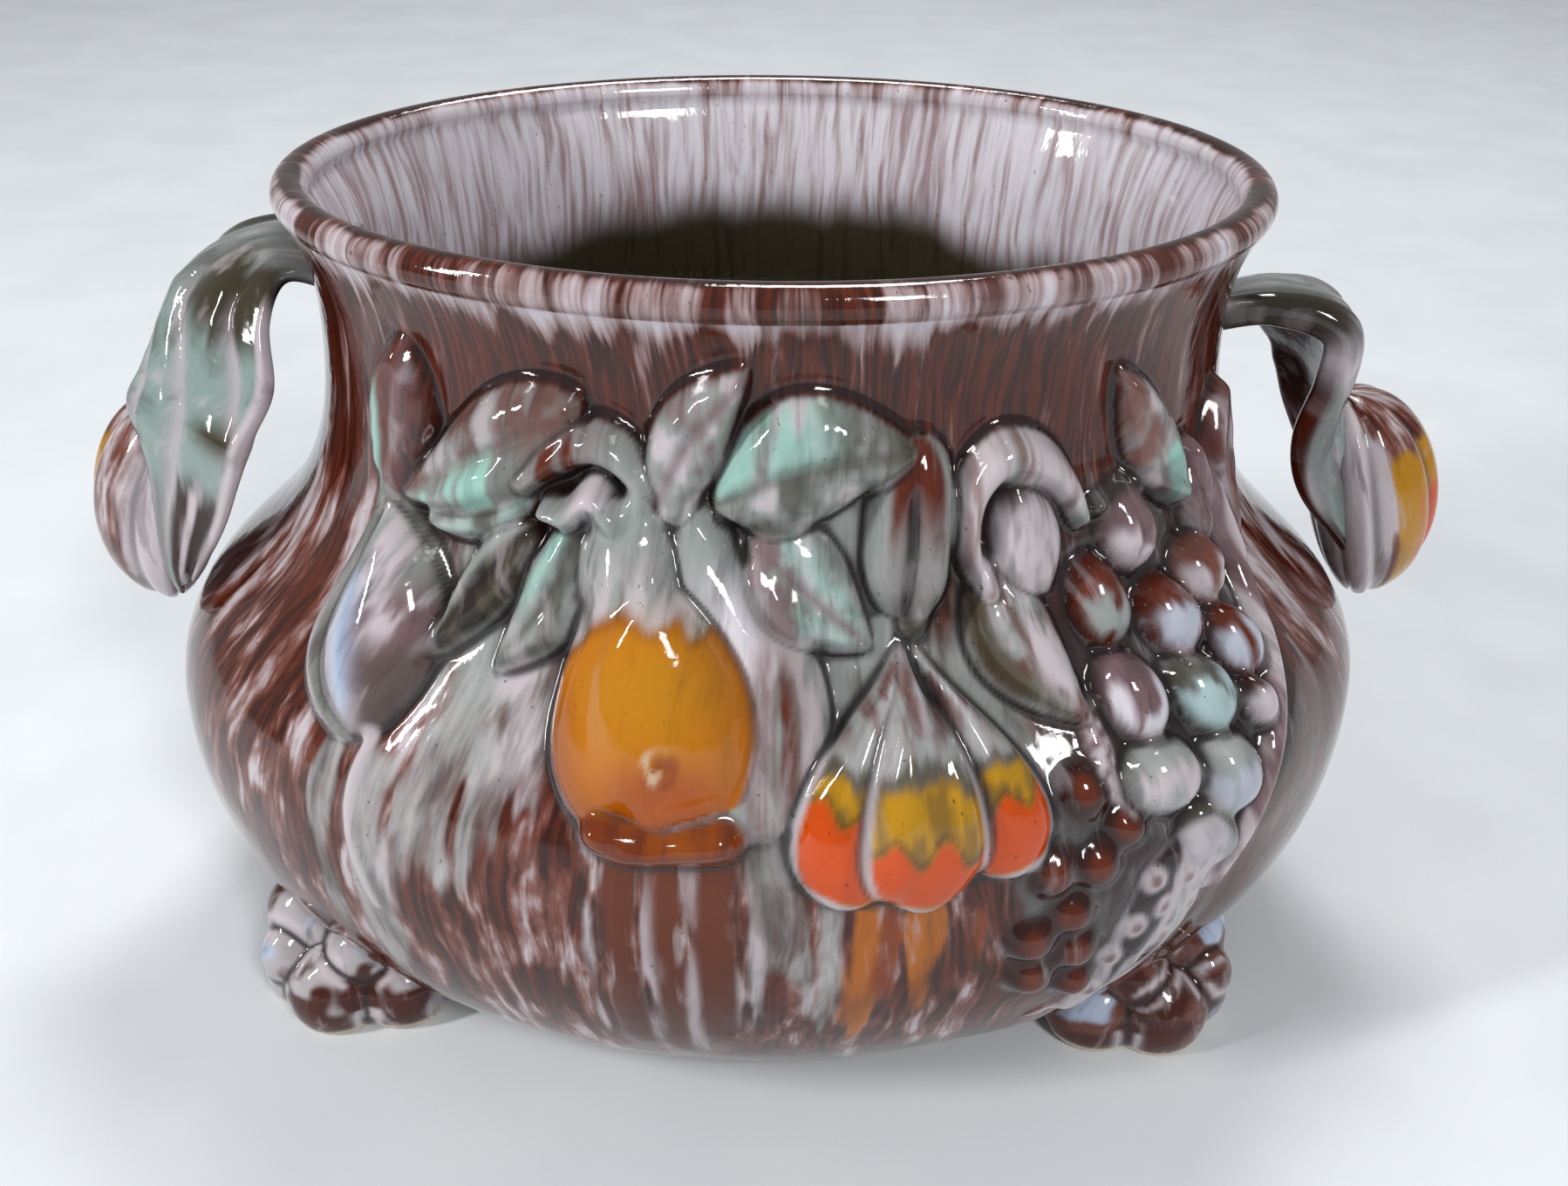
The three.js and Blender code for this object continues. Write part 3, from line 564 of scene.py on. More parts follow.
# Grapes: p, w, half sizes, body and the light glaze on them. Berries: p, w and half size
GRAPES = [
    (112, 88, 11.5, 11.0, MAUVE, LILAC_WHITE), (136, 71, 10.5, 10.0, ROSE_BROWN, LILAC_WHITE),
    (96, 73, 10.5, 12.5, CHESTNUT, GREY_GREEN), (118, 64, 11.5, 11.5, CHESTNUT, PALE_BLUE),
    (134, 52, 9.5, 11.5, CHESTNUT, PALE_BLUE), (94, 49, 10.0, 12.5, MAUVE, PEARL),
    (114, 44, 10.5, 11.5, SAGE_DARK, PALE_MINT), (128, 37, 6.0, 8.0, CHESTNUT_DARK, LILAC_WHITE),
    (93, 29, 11.0, 9.5, GREY_GREEN, LILAC_WHITE), (112, 24, 9.5, 10.5, GREY_GREEN, PALE_BLUE),
    (103, 9, 9.5, 12.0, SAGE_DARK, GREY_GREEN),
]
BERRIES = [
    (72, 30, 7.5), (81, 20, 6.5), (62, 13, 7.5), (73, 12, 7.0), (67, 0, 7.0),
    (58, -6, 7.5), (70, -12, 7.0), (60, -19, 7.0), (73, -25, 6.0),
]


def lay_grapes():
    """The bunch of grapes, lowest first, with the small dark berries beside its tail."""
    bed = Piece((50, -50), (160, 104))
    bed.inside = np.clip(bed.spot((114, 54), 40, 50, -10) + bed.spot((82, 2), 30, 38), 0, 1)
    bed.swell(3.0)
    bed.paint(0.8, CREVICE * 1.6, 0.85)
    path = [(148, 100), (157, 84), (158, 68), (150, 52), (136, 34), (121, 14), (108, -6)]
    ribbon = lay_roll(path, [7, 10, 10, 9, 9, 7, 4], 4.5)
    ribbon.paint(1, MAUVE, 0.8)
    ribbon.paint(smooth(0.5, 0.62, ribbon.ragged), LILAC_WHITE, 0.9)
    for p, w, size in BERRIES:
        berry = lay_oval(p, w, size, size, 5.5, groove=0.5)
        berry.paint(1, CHESTNUT_DARK, 0.95)
        berry.paint(berry.spot((p - 1, w + 1), 3.0, 3.5) * 0.7, CHESTNUT + AMBER_DEEP * 0.2, 0.95)
    strand = lay_roll([(81, 50), (79, 40), (80, 30), (83, 24)], [5, 7, 7, 4], 2.5, 0.3)
    strand.paint(1, MAUVE, 0.95)
    strand.paint(smooth(0.4, 0.56, strand.noise(1.6, 2.2, 113)), LILAC_WHITE, 0.97)
    for p, w, half_p, half_w, body, light in sorted(GRAPES, key=lambda grape: grape[1]):
        grape = lay_oval(p, w, half_p, half_w, 9.5, power=0.5)
        grape.paint(1, body, 0.95)
        lower = smooth(0.4, 0.0, grape.up + 0.5 * (grape.fine - 0.5))
        streaks = lower * smooth(0.97, 0.75, grape.radius)
        grape.paint(streaks * smooth(0.34, 0.5, grape.noise(3, 14, 111 + p)), light, 1.0)
        grape.paint(smooth(0.8, 1.0, grape.radius) * 0.6, CREVICE * 1.4, 0.9)


def lay_dimples():
    """Small ringed bumps, thick with pale glaze, where the bunch runs out."""
    path = [(101, 10), (96, 0), (92, -12), (84, -26), (76, -40)]
    body = lay_roll(path, [14, 24, 24, 14, 5], 3.5, 0.5)
    body.paint(1, LILAC_WHITE * 0.75 + ICE_BLUE * 0.1, 0.95)
    body.paint(smooth(0.52, 0.6, body.ragged), CREVICE * 1.5, 0.95)
    bumps = [
        (97, 2), (88, 4), (92, -5), (101, -8), (85, -9), (94, -16), (80, -18), (88, -24), (78, -30),
        (104, 3),
    ]
    for p, w in bumps:
        bump = lay_oval(p, w, 3.1, 3.6, 5.2, groove=0.3)
        bump.paint(1, LILAC_WHITE, 0.97)
        bump.paint(smooth(0.6, 0.3, bump.radius) * 0.8, ROSE_BROWN * 0.8, 0.95)
        bump.swell(-1.4 * smooth(0.6, 0.2, bump.radius))
    for start in (96, 104):
        tail = [(start, 6), (start - 3, -12), (start - 12, -30), (start - 28, -46)]
        lay_roll(tail, [2.5, 3, 3, 1.5], 2.5, 0.5).paint(1, LILAC_WHITE * 0.9, 0.95)


def lay_hood():
    """The curled hood over its seed, and the leaf that hangs under it."""
    leaf = lay_leaf((62, 91), 160, 49, 27, 9, GREY_GREEN, CHESTNUT, bend=3, rib=0.6)
    leaf.paint(smooth(0.3, 0.7, leaf.c), OLIVE, 0.85)
    flame = smooth(0.5, 0.62, leaf.noise(5, 22, 101)) * smooth(0.5, 0.0, leaf.c)
    leaf.paint(flame, LILAC_WHITE, 0.9)
    seed = lay_dome(almond_outline, (69, 110), 160, 34, 24, 9, fullness=2)
    seed.paint(1, MAUVE_GREEN, 0.85)
    seed.paint(smooth(0.42, 0.58, seed.noise(3, 16, 103)), LILAC_WHITE, 0.9)
    seed.paint(smooth(0.3, 0.1, seed.t), CHESTNUT_DARK, 0.9)
    arch = [(60, 82), (56, 94), (58, 106), (67, 113), (79, 111), (89, 104), (94, 95)]
    hood = lay_roll(arch, [5, 9, 11, 12, 12, 10, 6], 7.5)
    hood.paint(1, GREY_GREEN, 0.9)
    hood.paint(smooth(0.38, 0.56, hood.ragged), LILAC_WHITE, 0.9)
    hood.paint(smooth(0.6, 0.72, hood.fine) * 0.6, ROSE_BROWN, 0.9)


def lay_grey_pear():
    """The plump grey pear behind the amber one."""
    pear = lay_dome(plump_outline, (-30, 105), 165, 82, 58, 14)
    t, c = pear.t, pear.c
    pear.paint(1, GREY_GREEN, 0.9)
    pear.paint(smooth(0.4, 0.7, t) * smooth(0.42, 0.6, pear.ragged) * 0.7, MAUVE, 0.8)
    flame = smooth(0.5, 0.62, pear.noise(7, 30, 73)) * smooth(0.2, 0.4, t)
    pear.paint(flame, LILAC_WHITE, 0.95)
    pear.paint(pear.spot((-14, 72), 7, 17, -16, soft=0.6), PEARL, 0.97)
    dusk = bell(c, -0.55, 0.2) * smooth(0.35, 0.6, t)
    pear.paint(dusk * smooth(0.35, 0.6, pear.fine), CHESTNUT, 0.7)


def lay_middle_leaves():
    """The leaves round the pears' stem, and the pod over the buds."""
    lay_leaf((-10, 98), 128, 44, 27, 7, GREY_GREEN, MAUVE, 0.9, mint=0.5, light=0.9)
    pod = lay_dome(pod_outline, (40, 120), 185, 43, 27, 10.5, fullness=2.0)
    cleft = bell(pod.lateral, 1, 1.8) * smooth(0.12, 0.4, pod.t)
    pod.swell(-4.2 * cleft)
    pod.paint(1, GREY_GREEN * 0.6 + MAUVE * 0.4, 0.85)
    pod.paint(smooth(0.7, 0.3, pod.t + 0.3 * (pod.ragged - 0.5)), CHESTNUT, 0.7)
    pod.paint(smooth(0.5, 0.75, np.abs(pod.c)), GREY_GREEN, 0.85)
    pod.paint(cleft, CREVICE, 0.95)
    leaf = lay_leaf((-22, 106), 79, 62, 31, 9.5, GREY_GREEN, SAGE_DARK, bend=-4, light=0.8)
    pale = smooth(0.1, -0.3, leaf.c) * smooth(0.75, 0.35, leaf.t)
    leaf.paint(pale * smooth(0.40, 0.56, leaf.ragged) * 0.8, MINT, 1.0)
    leaf.paint(smooth(0.6, 0.95, leaf.t) * 0.6, OLIVE, 0.9)
    lay_leaf((-40, 100), 38, 47, 22, 8.5, GREY_GREEN, MAUVE, bend=-3, light=0.9)


# Buds: the share of its length at which the orange starts, then stem, heading, length, width,
# rise and bend
BUDS = [
    (0.70, (37, 72), 165, 60, 25, 11, -2),
    (0.66, (33, 72), 200, 65, 28, 12, 2),
    (0.74, (34, 73), 184, 64, 29, 14.8, 0),
]


def lay_bud(number, brim, *shape):
    """A bud, grey-green above and yellow and orange below, with a pale rim."""
    bud = lay_dome(drop_outline, *shape)
    t, c, side = bud.t, bud.c, np.abs(bud.c)
    ribs = np.cos(2 * math.pi * c * 1.6) * smooth(0.1, 0.4, t) * smooth(0.95, 0.7, t)
    bud.swell(0.35 * ribs)
    noise = bud.noise(4, 12, 91 + number) - 0.5
    level = t + 0.14 * noise
    bud.paint(1, GREY_GREEN * 0.8 + LILAC_WHITE * 0.2, 0.9)
    streaks = smooth(0.48, 0.62, bud.noise(2.2, 9, 93)) * smooth(0.55, 0.3, t)
    bud.paint(streaks * 0.9, MAUVE * 0.4 + ROSE_BROWN * 0.5, 0.95)
    olive = smooth(0.49, 0.54, level) * smooth(0.64, 0.60, level) * smooth(0.95, 0.8, side)
    bud.paint(olive * 0.85, OLIVE, 1.0)
    yellow = smooth(0.55, 0.60, level) * smooth(0.97, 0.94, level) * smooth(0.92, 0.82, side)
    bud.paint(yellow, YELLOW, 1.0)
    bud.paint(yellow * smooth(0.12, 0.2, np.abs(noise)) * 0.5, OLIVE, 1.0)
    crest = t + 0.03 * np.cos(8 * c + number) + 0.05 * noise
    orange = smooth(brim, brim + 0.03, crest) * smooth(0.955, 0.93, t) * smooth(0.9, 0.82, side)
    bud.paint(orange, ORANGE, 1.0)
    bud.paint(bell(crest, brim, 0.012) * smooth(0.95, 0.85, side) * 0.6, CHESTNUT_DARK, 1.0)
    rim = smooth(0.82, 0.92, side) * smooth(0.4, 0.55, t) + smooth(0.94, 0.96, t)
    bud.paint(np.clip(rim, 0, 1), LILAC_WHITE, 1.0)
    bud.paint(bell(side, 0.5, 0.08) * smooth(0.6, 0.2, t) * 0.7, CHESTNUT_DARK, 0.95)
    glint = bell(c, -0.1, 0.10) * smooth(0.08, 0.2, t) * smooth(0.5, 0.3, t)
    bud.paint(glint * 0.7, PEARL, 0.95)


def lay_buds():
    """Three buds on one stem and the drips below them."""
    for number, bud in enumerate(BUDS):
        lay_bud(number, *bud)
    for colour, *run in DRIPS:
        mask = run_down(*run, ragged=8)
        relief.dab(0.95 * mask, colour * 0.7 + AMBER_DEEP * 0.3, 1.0)
        relief.height += 0.5 * mask


def lay_curl():
    """The folded leaf curl that hangs over the amber pear's stem."""
    path = [(-78, 106), (-68, 113), (-57, 117), (-48, 114), (-41, 106)]
    fold = lay_roll(path, [5, 9, 11, 10, 6], 7.5)
    fold.paint(1, MAUVE_GREEN, 0.85)
    fold.paint(smooth(0.45, 0.6, fold.ragged) * smooth(0.7, 0.4, fold.share), CHESTNUT, 0.7)
    fold.paint(smooth(0.5, 0.7, fold.share), GREY_GREEN, 0.9)
    tongue = lay_roll([(-72, 101), (-64, 101), (-56, 106), (-49, 101)], [6, 8, 10, 6], 11)
    tongue.paint(1, GREY_GREEN, 0.85)
    tongue.paint(smooth(0.3, 0.6, tongue.share), LILAC_WHITE, 0.9)


SCAR = (-28, 41)


def lay_amber_pear():
    """The pear in front, amber below its grey shoulders, with a blister and a rolled foot."""
    pear = lay_dome(pear_outline, (-50, 106), 163, 80, 52, 17.7, fullness=2.3)
    t, c = pear.t, pear.c
    pear.paint(1, GREY_GREEN, 0.85)
    veil = smooth(0.42, 0.6, pear.noise(5, 30, 75)) * smooth(0.1, 0.3, t)
    pear.paint(veil * 0.8, LILAC_WHITE, 0.9)
    reach = t + 0.26 * (pear.noise(6, 60, 77) - 0.5) - 0.05 * c**2
    left_edge = smooth(0.97, 0.86, c)
    pear.paint(smooth(0.31, 0.39, reach) * left_edge, AMBER_DEEP * 0.5 + AMBER * 0.3, 0.95)
    pear.paint(smooth(0.35, 0.44, reach) * left_edge, AMBER, 1.0)
    pear.paint(pear.spot((-32, 60), 17, 17, 20, 0.8) * 0.5 * left_edge, YELLOW * 1.1, 1.0)
    pear.paint(pear.spot((-27, 34), 13, 8, 0, 0.6) * 0.7, ORANGE * 0.3 + AMBER_DEEP * 0.6, 1.0)
    pear.paint(smooth(0.5, 0.85, c) * smooth(0.5, 0.65, t) * 0.5, AMBER_DEEP, 1.0)
    beside, above = pear.p - SCAR[0], pear.w - SCAR[1]
    away = np.hypot(beside / 4.4, above / 3.8)
    swirl = np.cos(np.arctan2(above, beside) + 2.2 * away + 1.6 + 5 * (pear.fine - 0.5))
    scar = smooth(1.25, 0.9, away)
    pear.paint(scar * smooth(0.1, 0.7, -swirl) * 0.7, AMBER_DEEP, 1.0)
    # Cream on the blister's raised ridges: pale glaze, and partly a painted highlight
    pear.paint(scar * smooth(0.3, 0.9, swirl) * 0.7, CREAM, 1.0)
    pear.swell(0.8 * scar * swirl)
    path = [(-42, 27), (-35, 25), (-27, 25), (-20, 26), (-14, 27)]
    foot = lay_roll(path, [9, 10, 8.5, 10, 11], 9.5, groove=0.4)
    foot.paint(1, AMBER_DEEP * 0.85, 1.0)
    foot.paint(foot.spot((-22, 29), 12, 4, soft=0.7) * 0.5, AMBER * 0.4 + AMBER_DEEP * 0.6, 1.0)
    foot.paint(smooth(0.5, 0.66, foot.fine) * 0.6, CHESTNUT, 1.0)


def model_front():
    """Lays every piece of the front half, the lowest first."""
    relief.height += 1.1 * (fractal(P, W, 46, 40, 1, 2) - 0.5)
    paint_ground()
    lay_pear_runs()
    lay_stems()
    lay_far_side()
    lay_crown()
    lay_vine_leaves()
    lay_grapes()
    lay_dimples()
    lay_hood()
    lay_grey_pear()
    lay_middle_leaves()
    lay_buds()
    lay_curl()
    lay_amber_pear()


model_front()


# The whole bowl's grid; the back repeats the front, turned half way round
COLUMNS = 2 * HALF_COLUMNS
COLUMN_P = -SIDE + (np.arange(COLUMNS) + 0.5) * PERIMETER / COLUMNS
ROW_W = WALL_FOOT + (np.arange(WALL_ROWS) + 0.5) * (WALL_TOP - WALL_FOOT) / WALL_ROWS
GRID_P, GRID_W = np.meshgrid(COLUMN_P, ROW_W)
COLUMN_TURN = np.interp(np.mod(COLUMN_P, PERIMETER), BELLY_RUN, TURNS)
COLUMN_COS, COLUMN_SIN = np.cos(COLUMN_TURN), np.sin(COLUMN_TURN)
RELIEF_BLUR, HOLLOW_REACH, HOLLOW_DEPTH = 1.25, 2.5, 1.3
LIP_FADE, FOOT_FADE = 12, 14


def whole_bowl(values):
    shape = (WALL_ROWS, FINER, HALF_COLUMNS, FINER, *values.shape[2:])
    front = values.reshape(shape).mean(axis=(1, 3))
    return np.concatenate([front, front], axis=1)


def wall_fields():
    """The wall's height and its dark lines, which die out before the lip and the foot."""
    fade = smooth(WALL_TOP, WALL_TOP - LIP_FADE, W) * smooth(WALL_FOOT, WALL_FOOT + FOOT_FADE, W)
    height = blur(whole_bowl(relief.height * fade), RELIEF_BLUR)
    hollows = np.clip((blur(height, HOLLOW_REACH) - height) / HOLLOW_DEPTH, 0, 1)
    lines = whole_bowl(relief.line * fade)
    return height, np.clip(0.6 * lines + 0.55 * hollows, 0, 1)


# Where the base coat is paler or browner than elsewhere: p, w, half sizes and how much
PALE_PATCHES = [
    (-64, -30, 50, 30, 0.08), (-190, -10, 50, 50, -0.20), (156, 0, 50, 60, -0.24),
    (178, 44, 16, 34, 0.16), (-196, 50, 30, 34, 0.16),
]


def wall_paleness():
    """The share of lilac-white in the base coat of the outer wall."""
    sway = fractal(GRID_P, GRID_W, 9, 200, 121)
    pale = 0.38 - 0.24 * smooth(80, 104, GRID_W) - 0.09 * smooth(20, -20, GRID_W)
    pale += 0.66 * smooth(130 + 18 * sway, 150, GRID_W)
    for centre_p, centre_w, half_p, half_w, more in PALE_PATCHES:
        beside = np.mod(GRID_P - centre_p + SIDE, HALF_WAY) - SIDE
        away = np.hypot(beside / half_p, (GRID_W - centre_w) / half_w)
        pale += more * smooth(1.4, 0.6, away)
    return np.clip(pale, 0, 1)


# Meshes
def to_mesh(name, points, faces, shades):
    """A smooth mesh from points in millimetres, with its glaze stored on the points."""
    mesh = bpy.data.meshes.new(name)
    mesh.from_pydata((points * MM).tolist(), [], faces)
    mesh.polygons.foreach_set("use_smooth", [True] * len(mesh.polygons))
    for key, values in shades.items():
        is_colour = values.shape[-1] == 4
        layer = mesh.attributes.new(key, "FLOAT_COLOR" if is_colour else "FLOAT_VECTOR", "POINT")
        flat = values.astype(np.float32).ravel()
        layer.data.foreach_set("color" if is_colour else "vector", flat)
    mesh.update()
    piece = bpy.data.objects.new(name, mesh)
    bpy.context.collection.objects.link(piece)
    return piece


def strip(low, high, count):
    """Quads between two closed rings of points that start at the numbers low and high."""
    step = np.arange(count)
    after = (step + 1) % count
    return np.stack([low + step, low + after, high + after, high + step], axis=1).tolist()


def glaze(shape, tint, cover, pale, line, soft=0.0):
    """The colours stored on points: tint and cover, then paleness, dark line and softness."""
    tint = np.broadcast_to(tint, (*shape, 3))
    parts = [np.broadcast_to(part, shape)[..., None] for part in (cover, pale, line, soft, 1.0)]
    return np.concatenate([tint, parts[0]], axis=-1), np.concatenate(parts[1:], axis=-1)


FLOW_RADIUS = PERIMETER / (2 * math.pi)


def flow(p, w):
    """Noise coordinates that run round the bowl and up its wall, in millimetres."""
    p, w = np.broadcast_arrays(p, w)
    turn = 2 * math.pi * p / PERIMETER
    return np.stack([FLOW_RADIUS * np.cos(turn), FLOW_RADIUS * np.sin(turn), w], axis=-1)


def ovals(rings):
    """Points round rings that are rows of half length, half depth and height."""
    length, depth, height = np.moveaxis(np.asarray(rings)[:, None, :], -1, 0)
    return np.stack([length * COLUMN_COS, depth * COLUMN_SIN, height + 0 * COLUMN_COS], axis=-1)


def edge_noise(cell, seed):
    return fractal(COLUMN_P, np.zeros(COLUMNS), cell, 40, seed)


class Skin:
    """The bowl's surface as rows of points, each with its glaze."""

    def __init__(self):
        self.blocks = []
        self.rows = 0

    def add(self, points, flows, pale, line=0.0, soft=0.0, tint=CHESTNUT_DARK, cover=0.0):
        tint, extra = glaze(points.shape[:-1], tint, cover, pale, line, soft)
        self.blocks.append((points, tint, extra, flows))
        self.rows += len(points)

    def joined(self):
        """All points, tints, extras and flows, each as one list."""
        whole = [np.concatenate(part) for part in zip(*self.blocks)]
        return [part.reshape(-1, part.shape[-1]) for part in whole]


def add_wall(skin):
    height, line = wall_fields()
    soft = 0.35 * smooth(84, 104, GRID_W) + 0.25 * smooth(126, 144, GRID_W)
    skin.add(
        wall_point(GRID_P, GRID_W, height), flow(GRID_P, GRID_W), wall_paleness(), line, soft,
        whole_bowl(relief.tint), whole_bowl(relief.cover),
    )


LIP_STEP = LIP_RADIUS * (LIP_END - LIP_START) / (LIP_ROWS - 1)
LIP_CREST, LIP_CREST_WIDTH = 1.7, 0.55


def add_lip(skin):
    """The rolled lip: a dark crest, with pale runs in groups on either side of it."""
    angles = np.linspace(LIP_START, LIP_END, LIP_ROWS)
    runs = WALL_TOP + LIP_STEP * np.arange(LIP_ROWS)[:, None]
    angle = angles[:, None]
    crest = bell(angle, LIP_CREST, LIP_CREST_WIDTH)
    rough = 0.7 + 2.2 * (edge_noise(12, 133) - 0.5)
    groups = 0.6 * (edge_noise(14, 139) - 0.5) * (1 - crest)
    pale = groups + 0.42 + 0.34 * smooth(1.8, 2.6, angle) - 0.3 * crest
    cover = np.clip(crest * rough * 1.3, 0, 0.95)
    skin.add(ovals(lip_ring(angles)), flow(COLUMN_P, runs), pale, soft=0.6, cover=cover)


INNER_FLOOR = BASE_LIFT + FLOOR
INNER_TOP, INNER_FOOT = LIP_CENTRE[2] - 1, INNER_FLOOR + 7
INNER_STEP, CORNER_STEP, CORNER_ROWS, CORNER_INSET = 1.6, 2.5, 8, 13
FLOOR_SHARES = np.array([0.97, 0.85, 0.7, 0.55, 0.4, 0.25, 0.12, 0.03])
# The top line of the dark olive lower inner wall, which is olive glaze and partly painted shade: its
# height, and how much higher it stands at the front and back middles
SHADE_AND_OLIVE_HEIGHT, SHADE_AND_OLIVE_RISE = 167, 19


def add_inside(skin):
    """The inner wall, lilac-white above and dark olive below, its round corner and the floor. The dark
    olive below is olive glaze and partly painted shade, its top line highest at the front and back
    middles.
    """
    inner_w = np.linspace(WALL_TOP - 2, WALL_FOOT, INNER_ROWS)
    outward, upward = slope_at(inner_w)
    rings = ring_at(inner_w) - WALL * np.stack([outward, outward, upward], axis=-1)
    rings = rings[(rings[:, 2] > INNER_FOOT) & (rings[:, 2] < INNER_TOP)]
    runs = WALL_TOP + LIP_STEP * LIP_ROWS + INNER_STEP * (np.arange(len(rings))[:, None] + 1)
    side = np.abs(COLUMN_SIN)
    # Painted shade with the olive glaze: the dark lower wall, its top line highest at the front and
    # back middles
    dusk = SHADE_AND_OLIVE_HEIGHT + SHADE_AND_OLIVE_RISE * side - 12 * (edge_noise(34, 135) - 0.5)
    dark = smooth(dusk + 14, dusk - 22, rings[:, 2:])
    pale = 0.72 + 0.16 * side - 0.12 * edge_noise(60, 137) - 0.3 * dark
    cover = np.clip(dark * 1.05, 0, 0.97)
    skin.add(ovals(rings), flow(COLUMN_P, runs), pale, 0.3 * dark, 1.0, OLIVE * 0.5, cover)

    step = np.arange(1, CORNER_ROWS + 1)[:, None]
    turned = np.sin(math.pi / 2 * step / CORNER_ROWS)
    corner = rings[-1] - turned * CORNER_INSET * (1 - UP)
    corner[:, 2:] = INNER_FLOOR + (rings[-1, 2] - INNER_FLOOR) * (1 - turned)
    tint = OLIVE * (0.5 + 0.03 * step[..., None])
    flows = flow(COLUMN_P, runs[-1] + CORNER_STEP * step)
    skin.add(ovals(corner), flows, 0.3, 0.2, tint=tint, cover=1.0)

    floor = ovals(corner[-1] * (FLOOR_SHARES[:, None] * (1 - UP) + UP))
    pool = fractal(floor[..., 0], floor[..., 1], 30, 30, 145)[..., None]
    tint = OLIVE * (0.65 + 0.6 * pool) + SAGE_DARK * 0.25
    skin.add(floor, floor, 0.3, 0.1, tint=tint, cover=1.0)


# The underside's rings: how far in from the foot and how far up
UNDER_RINGS = np.array([(1.5, 0.0), (7, 0.0), (9, 0.8), (22, 1.4), (50, 1.6), (79, 1.6)])


def add_underside(skin):
    """The foot ring, a step in, then a slightly hollow base."""
    inset, lift = UNDER_RINGS[:, :1], UNDER_RINGS[:, 1:]
    rings = ring_at(WALL_FOOT) - inset * (1 - UP) + lift * UP
    skin.add(ovals(rings), flow(COLUMN_P, WALL_FOOT - inset), 0.4, tint=CREAM, cover=0.9)


def build_bowl():
    skin = Skin()
    add_wall(skin)
    add_lip(skin)
    add_inside(skin)
    under_start = skin.rows
    add_underside(skin)
    starts = COLUMNS * np.arange(skin.rows)
    faces = []
    for low, high in zip(starts[:under_start], starts[1:under_start]):
        faces += strip(low, high, COLUMNS)
    faces.append(list(range(starts[under_start - 1], starts[under_start])))
    upper = 0
    for start in starts[under_start:]:
        faces += strip(start, upper, COLUMNS)
        upper = int(start)
    faces.append(list(range(upper, upper + COLUMNS))[::-1])
    points, tint, extra, flows = skin.joined()
    return to_mesh("glazed_bowl", points, faces, {"tint": tint, "glaze": extra, "flow": flows})


def finish_grid(name, points, coat, along, across, pale, turned, mirrored=False):
    """A closed mesh from rings of points: strips between the rings and a face at either end."""
    rows, around = coat.line.shape
    if turned:
        points = points * (-1, -1, 1)
    faces = []
    for row in range(rows - 1):
        faces += strip(row * around, (row + 1) * around, around)
    faces += [list(range(around))[::-1], list(range((rows - 1) * around, rows * around))]
    if mirrored:
        faces = [face[::-1] for face in faces]
    flows = np.stack([across, 0 * across, along], axis=-1)
    tint, extra = glaze((rows, around), coat.tint, coat.cover, pale, np.clip(coat.line, 0, 1))
    shades = {"tint": tint, "glaze": extra, "flow": flows}
    return to_mesh(name, points.reshape(-1, 3), faces, shades)


def closed_grid(rows, around, start=0.0):
    """Angles down from the top and round, for a body made of rings."""
    down = math.pi * (np.arange(rows) + 0.5) / rows
    return np.meshgrid(down, 2 * math.pi * np.arange(around) / around + start, indexing="ij")


# Handle leaves: wall places [p from the bowl's end, w, out] along the bead, the crown and the
# free edge, from the root in the neck to the tip on the belly
LEAF_LINES = {
    "left": (
        [(-22, 128, -6), (-22, 132, 11), (-22, 126, 24), (-22, 106, 26), (-18, 86, 27),
         (-12, 66, 21), (0, 46, 10), (15, 31, 4)],
        [(0, 130, -6), (0, 136, 13), (2, 131, 27), (4, 111, 38), (6, 90, 42), (8, 70, 42),
         (13, 50, 27), (20, 30, 5)],
        [(22, 124, -6), (20, 129, 6), (27, 120, 12), (35, 104, 13), (35, 88, 17), (34, 70, 16),
         (30, 48, 9), (24, 30, 3)],
    ),
    "right": (
        [(-22, 118, -6), (-22, 121, 11), (-22, 115, 26), (-22, 99, 25), (-22, 80, 17),
         (-20, 60, 11), (-14, 38, 8), (-4, 20, 6)],
        [(0, 117, -6), (0, 122, 13), (0, 118, 28), (0, 103, 32), (0, 82, 31), (-1, 60, 26),
         (-1, 40, 16), (1, 22, 7)],
        [(22, 111, -6), (20, 115, 8), (26, 109, 18), (31, 97, 26), (30, 82, 30), (26, 60, 23),
         (16, 40, 13), (6, 23, 6)],
    ),
}
LEAF_SEEDS = {"left": 141, "right": 151}
LEAF_ROWS, LEAF_ROUND = 150, 120
LEAF_LENGTH, LEAF_WIDTH = 170, 62
LEAF_BEAD, LEAF_BLADE, LEAF_EDGE = 12.5, 6.5, 4.5
BEAD_SHARE, TIP_SHARE = 0.2, 0.06


def leaf_middle(lines, s, q):
    """The leaf's middle surface: s from root to tip, q from the bead to the free edge."""
    places = [curve_through(line, s) for line in lines]
    bead, crown, edge = [
        wall_point(SIDE + place[..., 0], place[..., 1], place[..., 2]) for place in places
    ]
    q = q[..., None]
    return (1 - q) ** 2 * bead + 2 * q * (1 - q) * (2 * crown - (bead + edge) / 2) + q**2 * edge


def leaf_grooves(s, q, seed):
    """Lines that wind along a leaf: 1 on a line, 0 between the lines."""
    drift = 0.10 * (fractal(300 * q, 170 * s, 60, 50, seed) - 0.5)
    phase = 5.0 * (q + 0.10 * np.sin(5.5 * s + 0.6) + drift)
    return bell(np.mod(phase, 1), 0.5, 0.15)


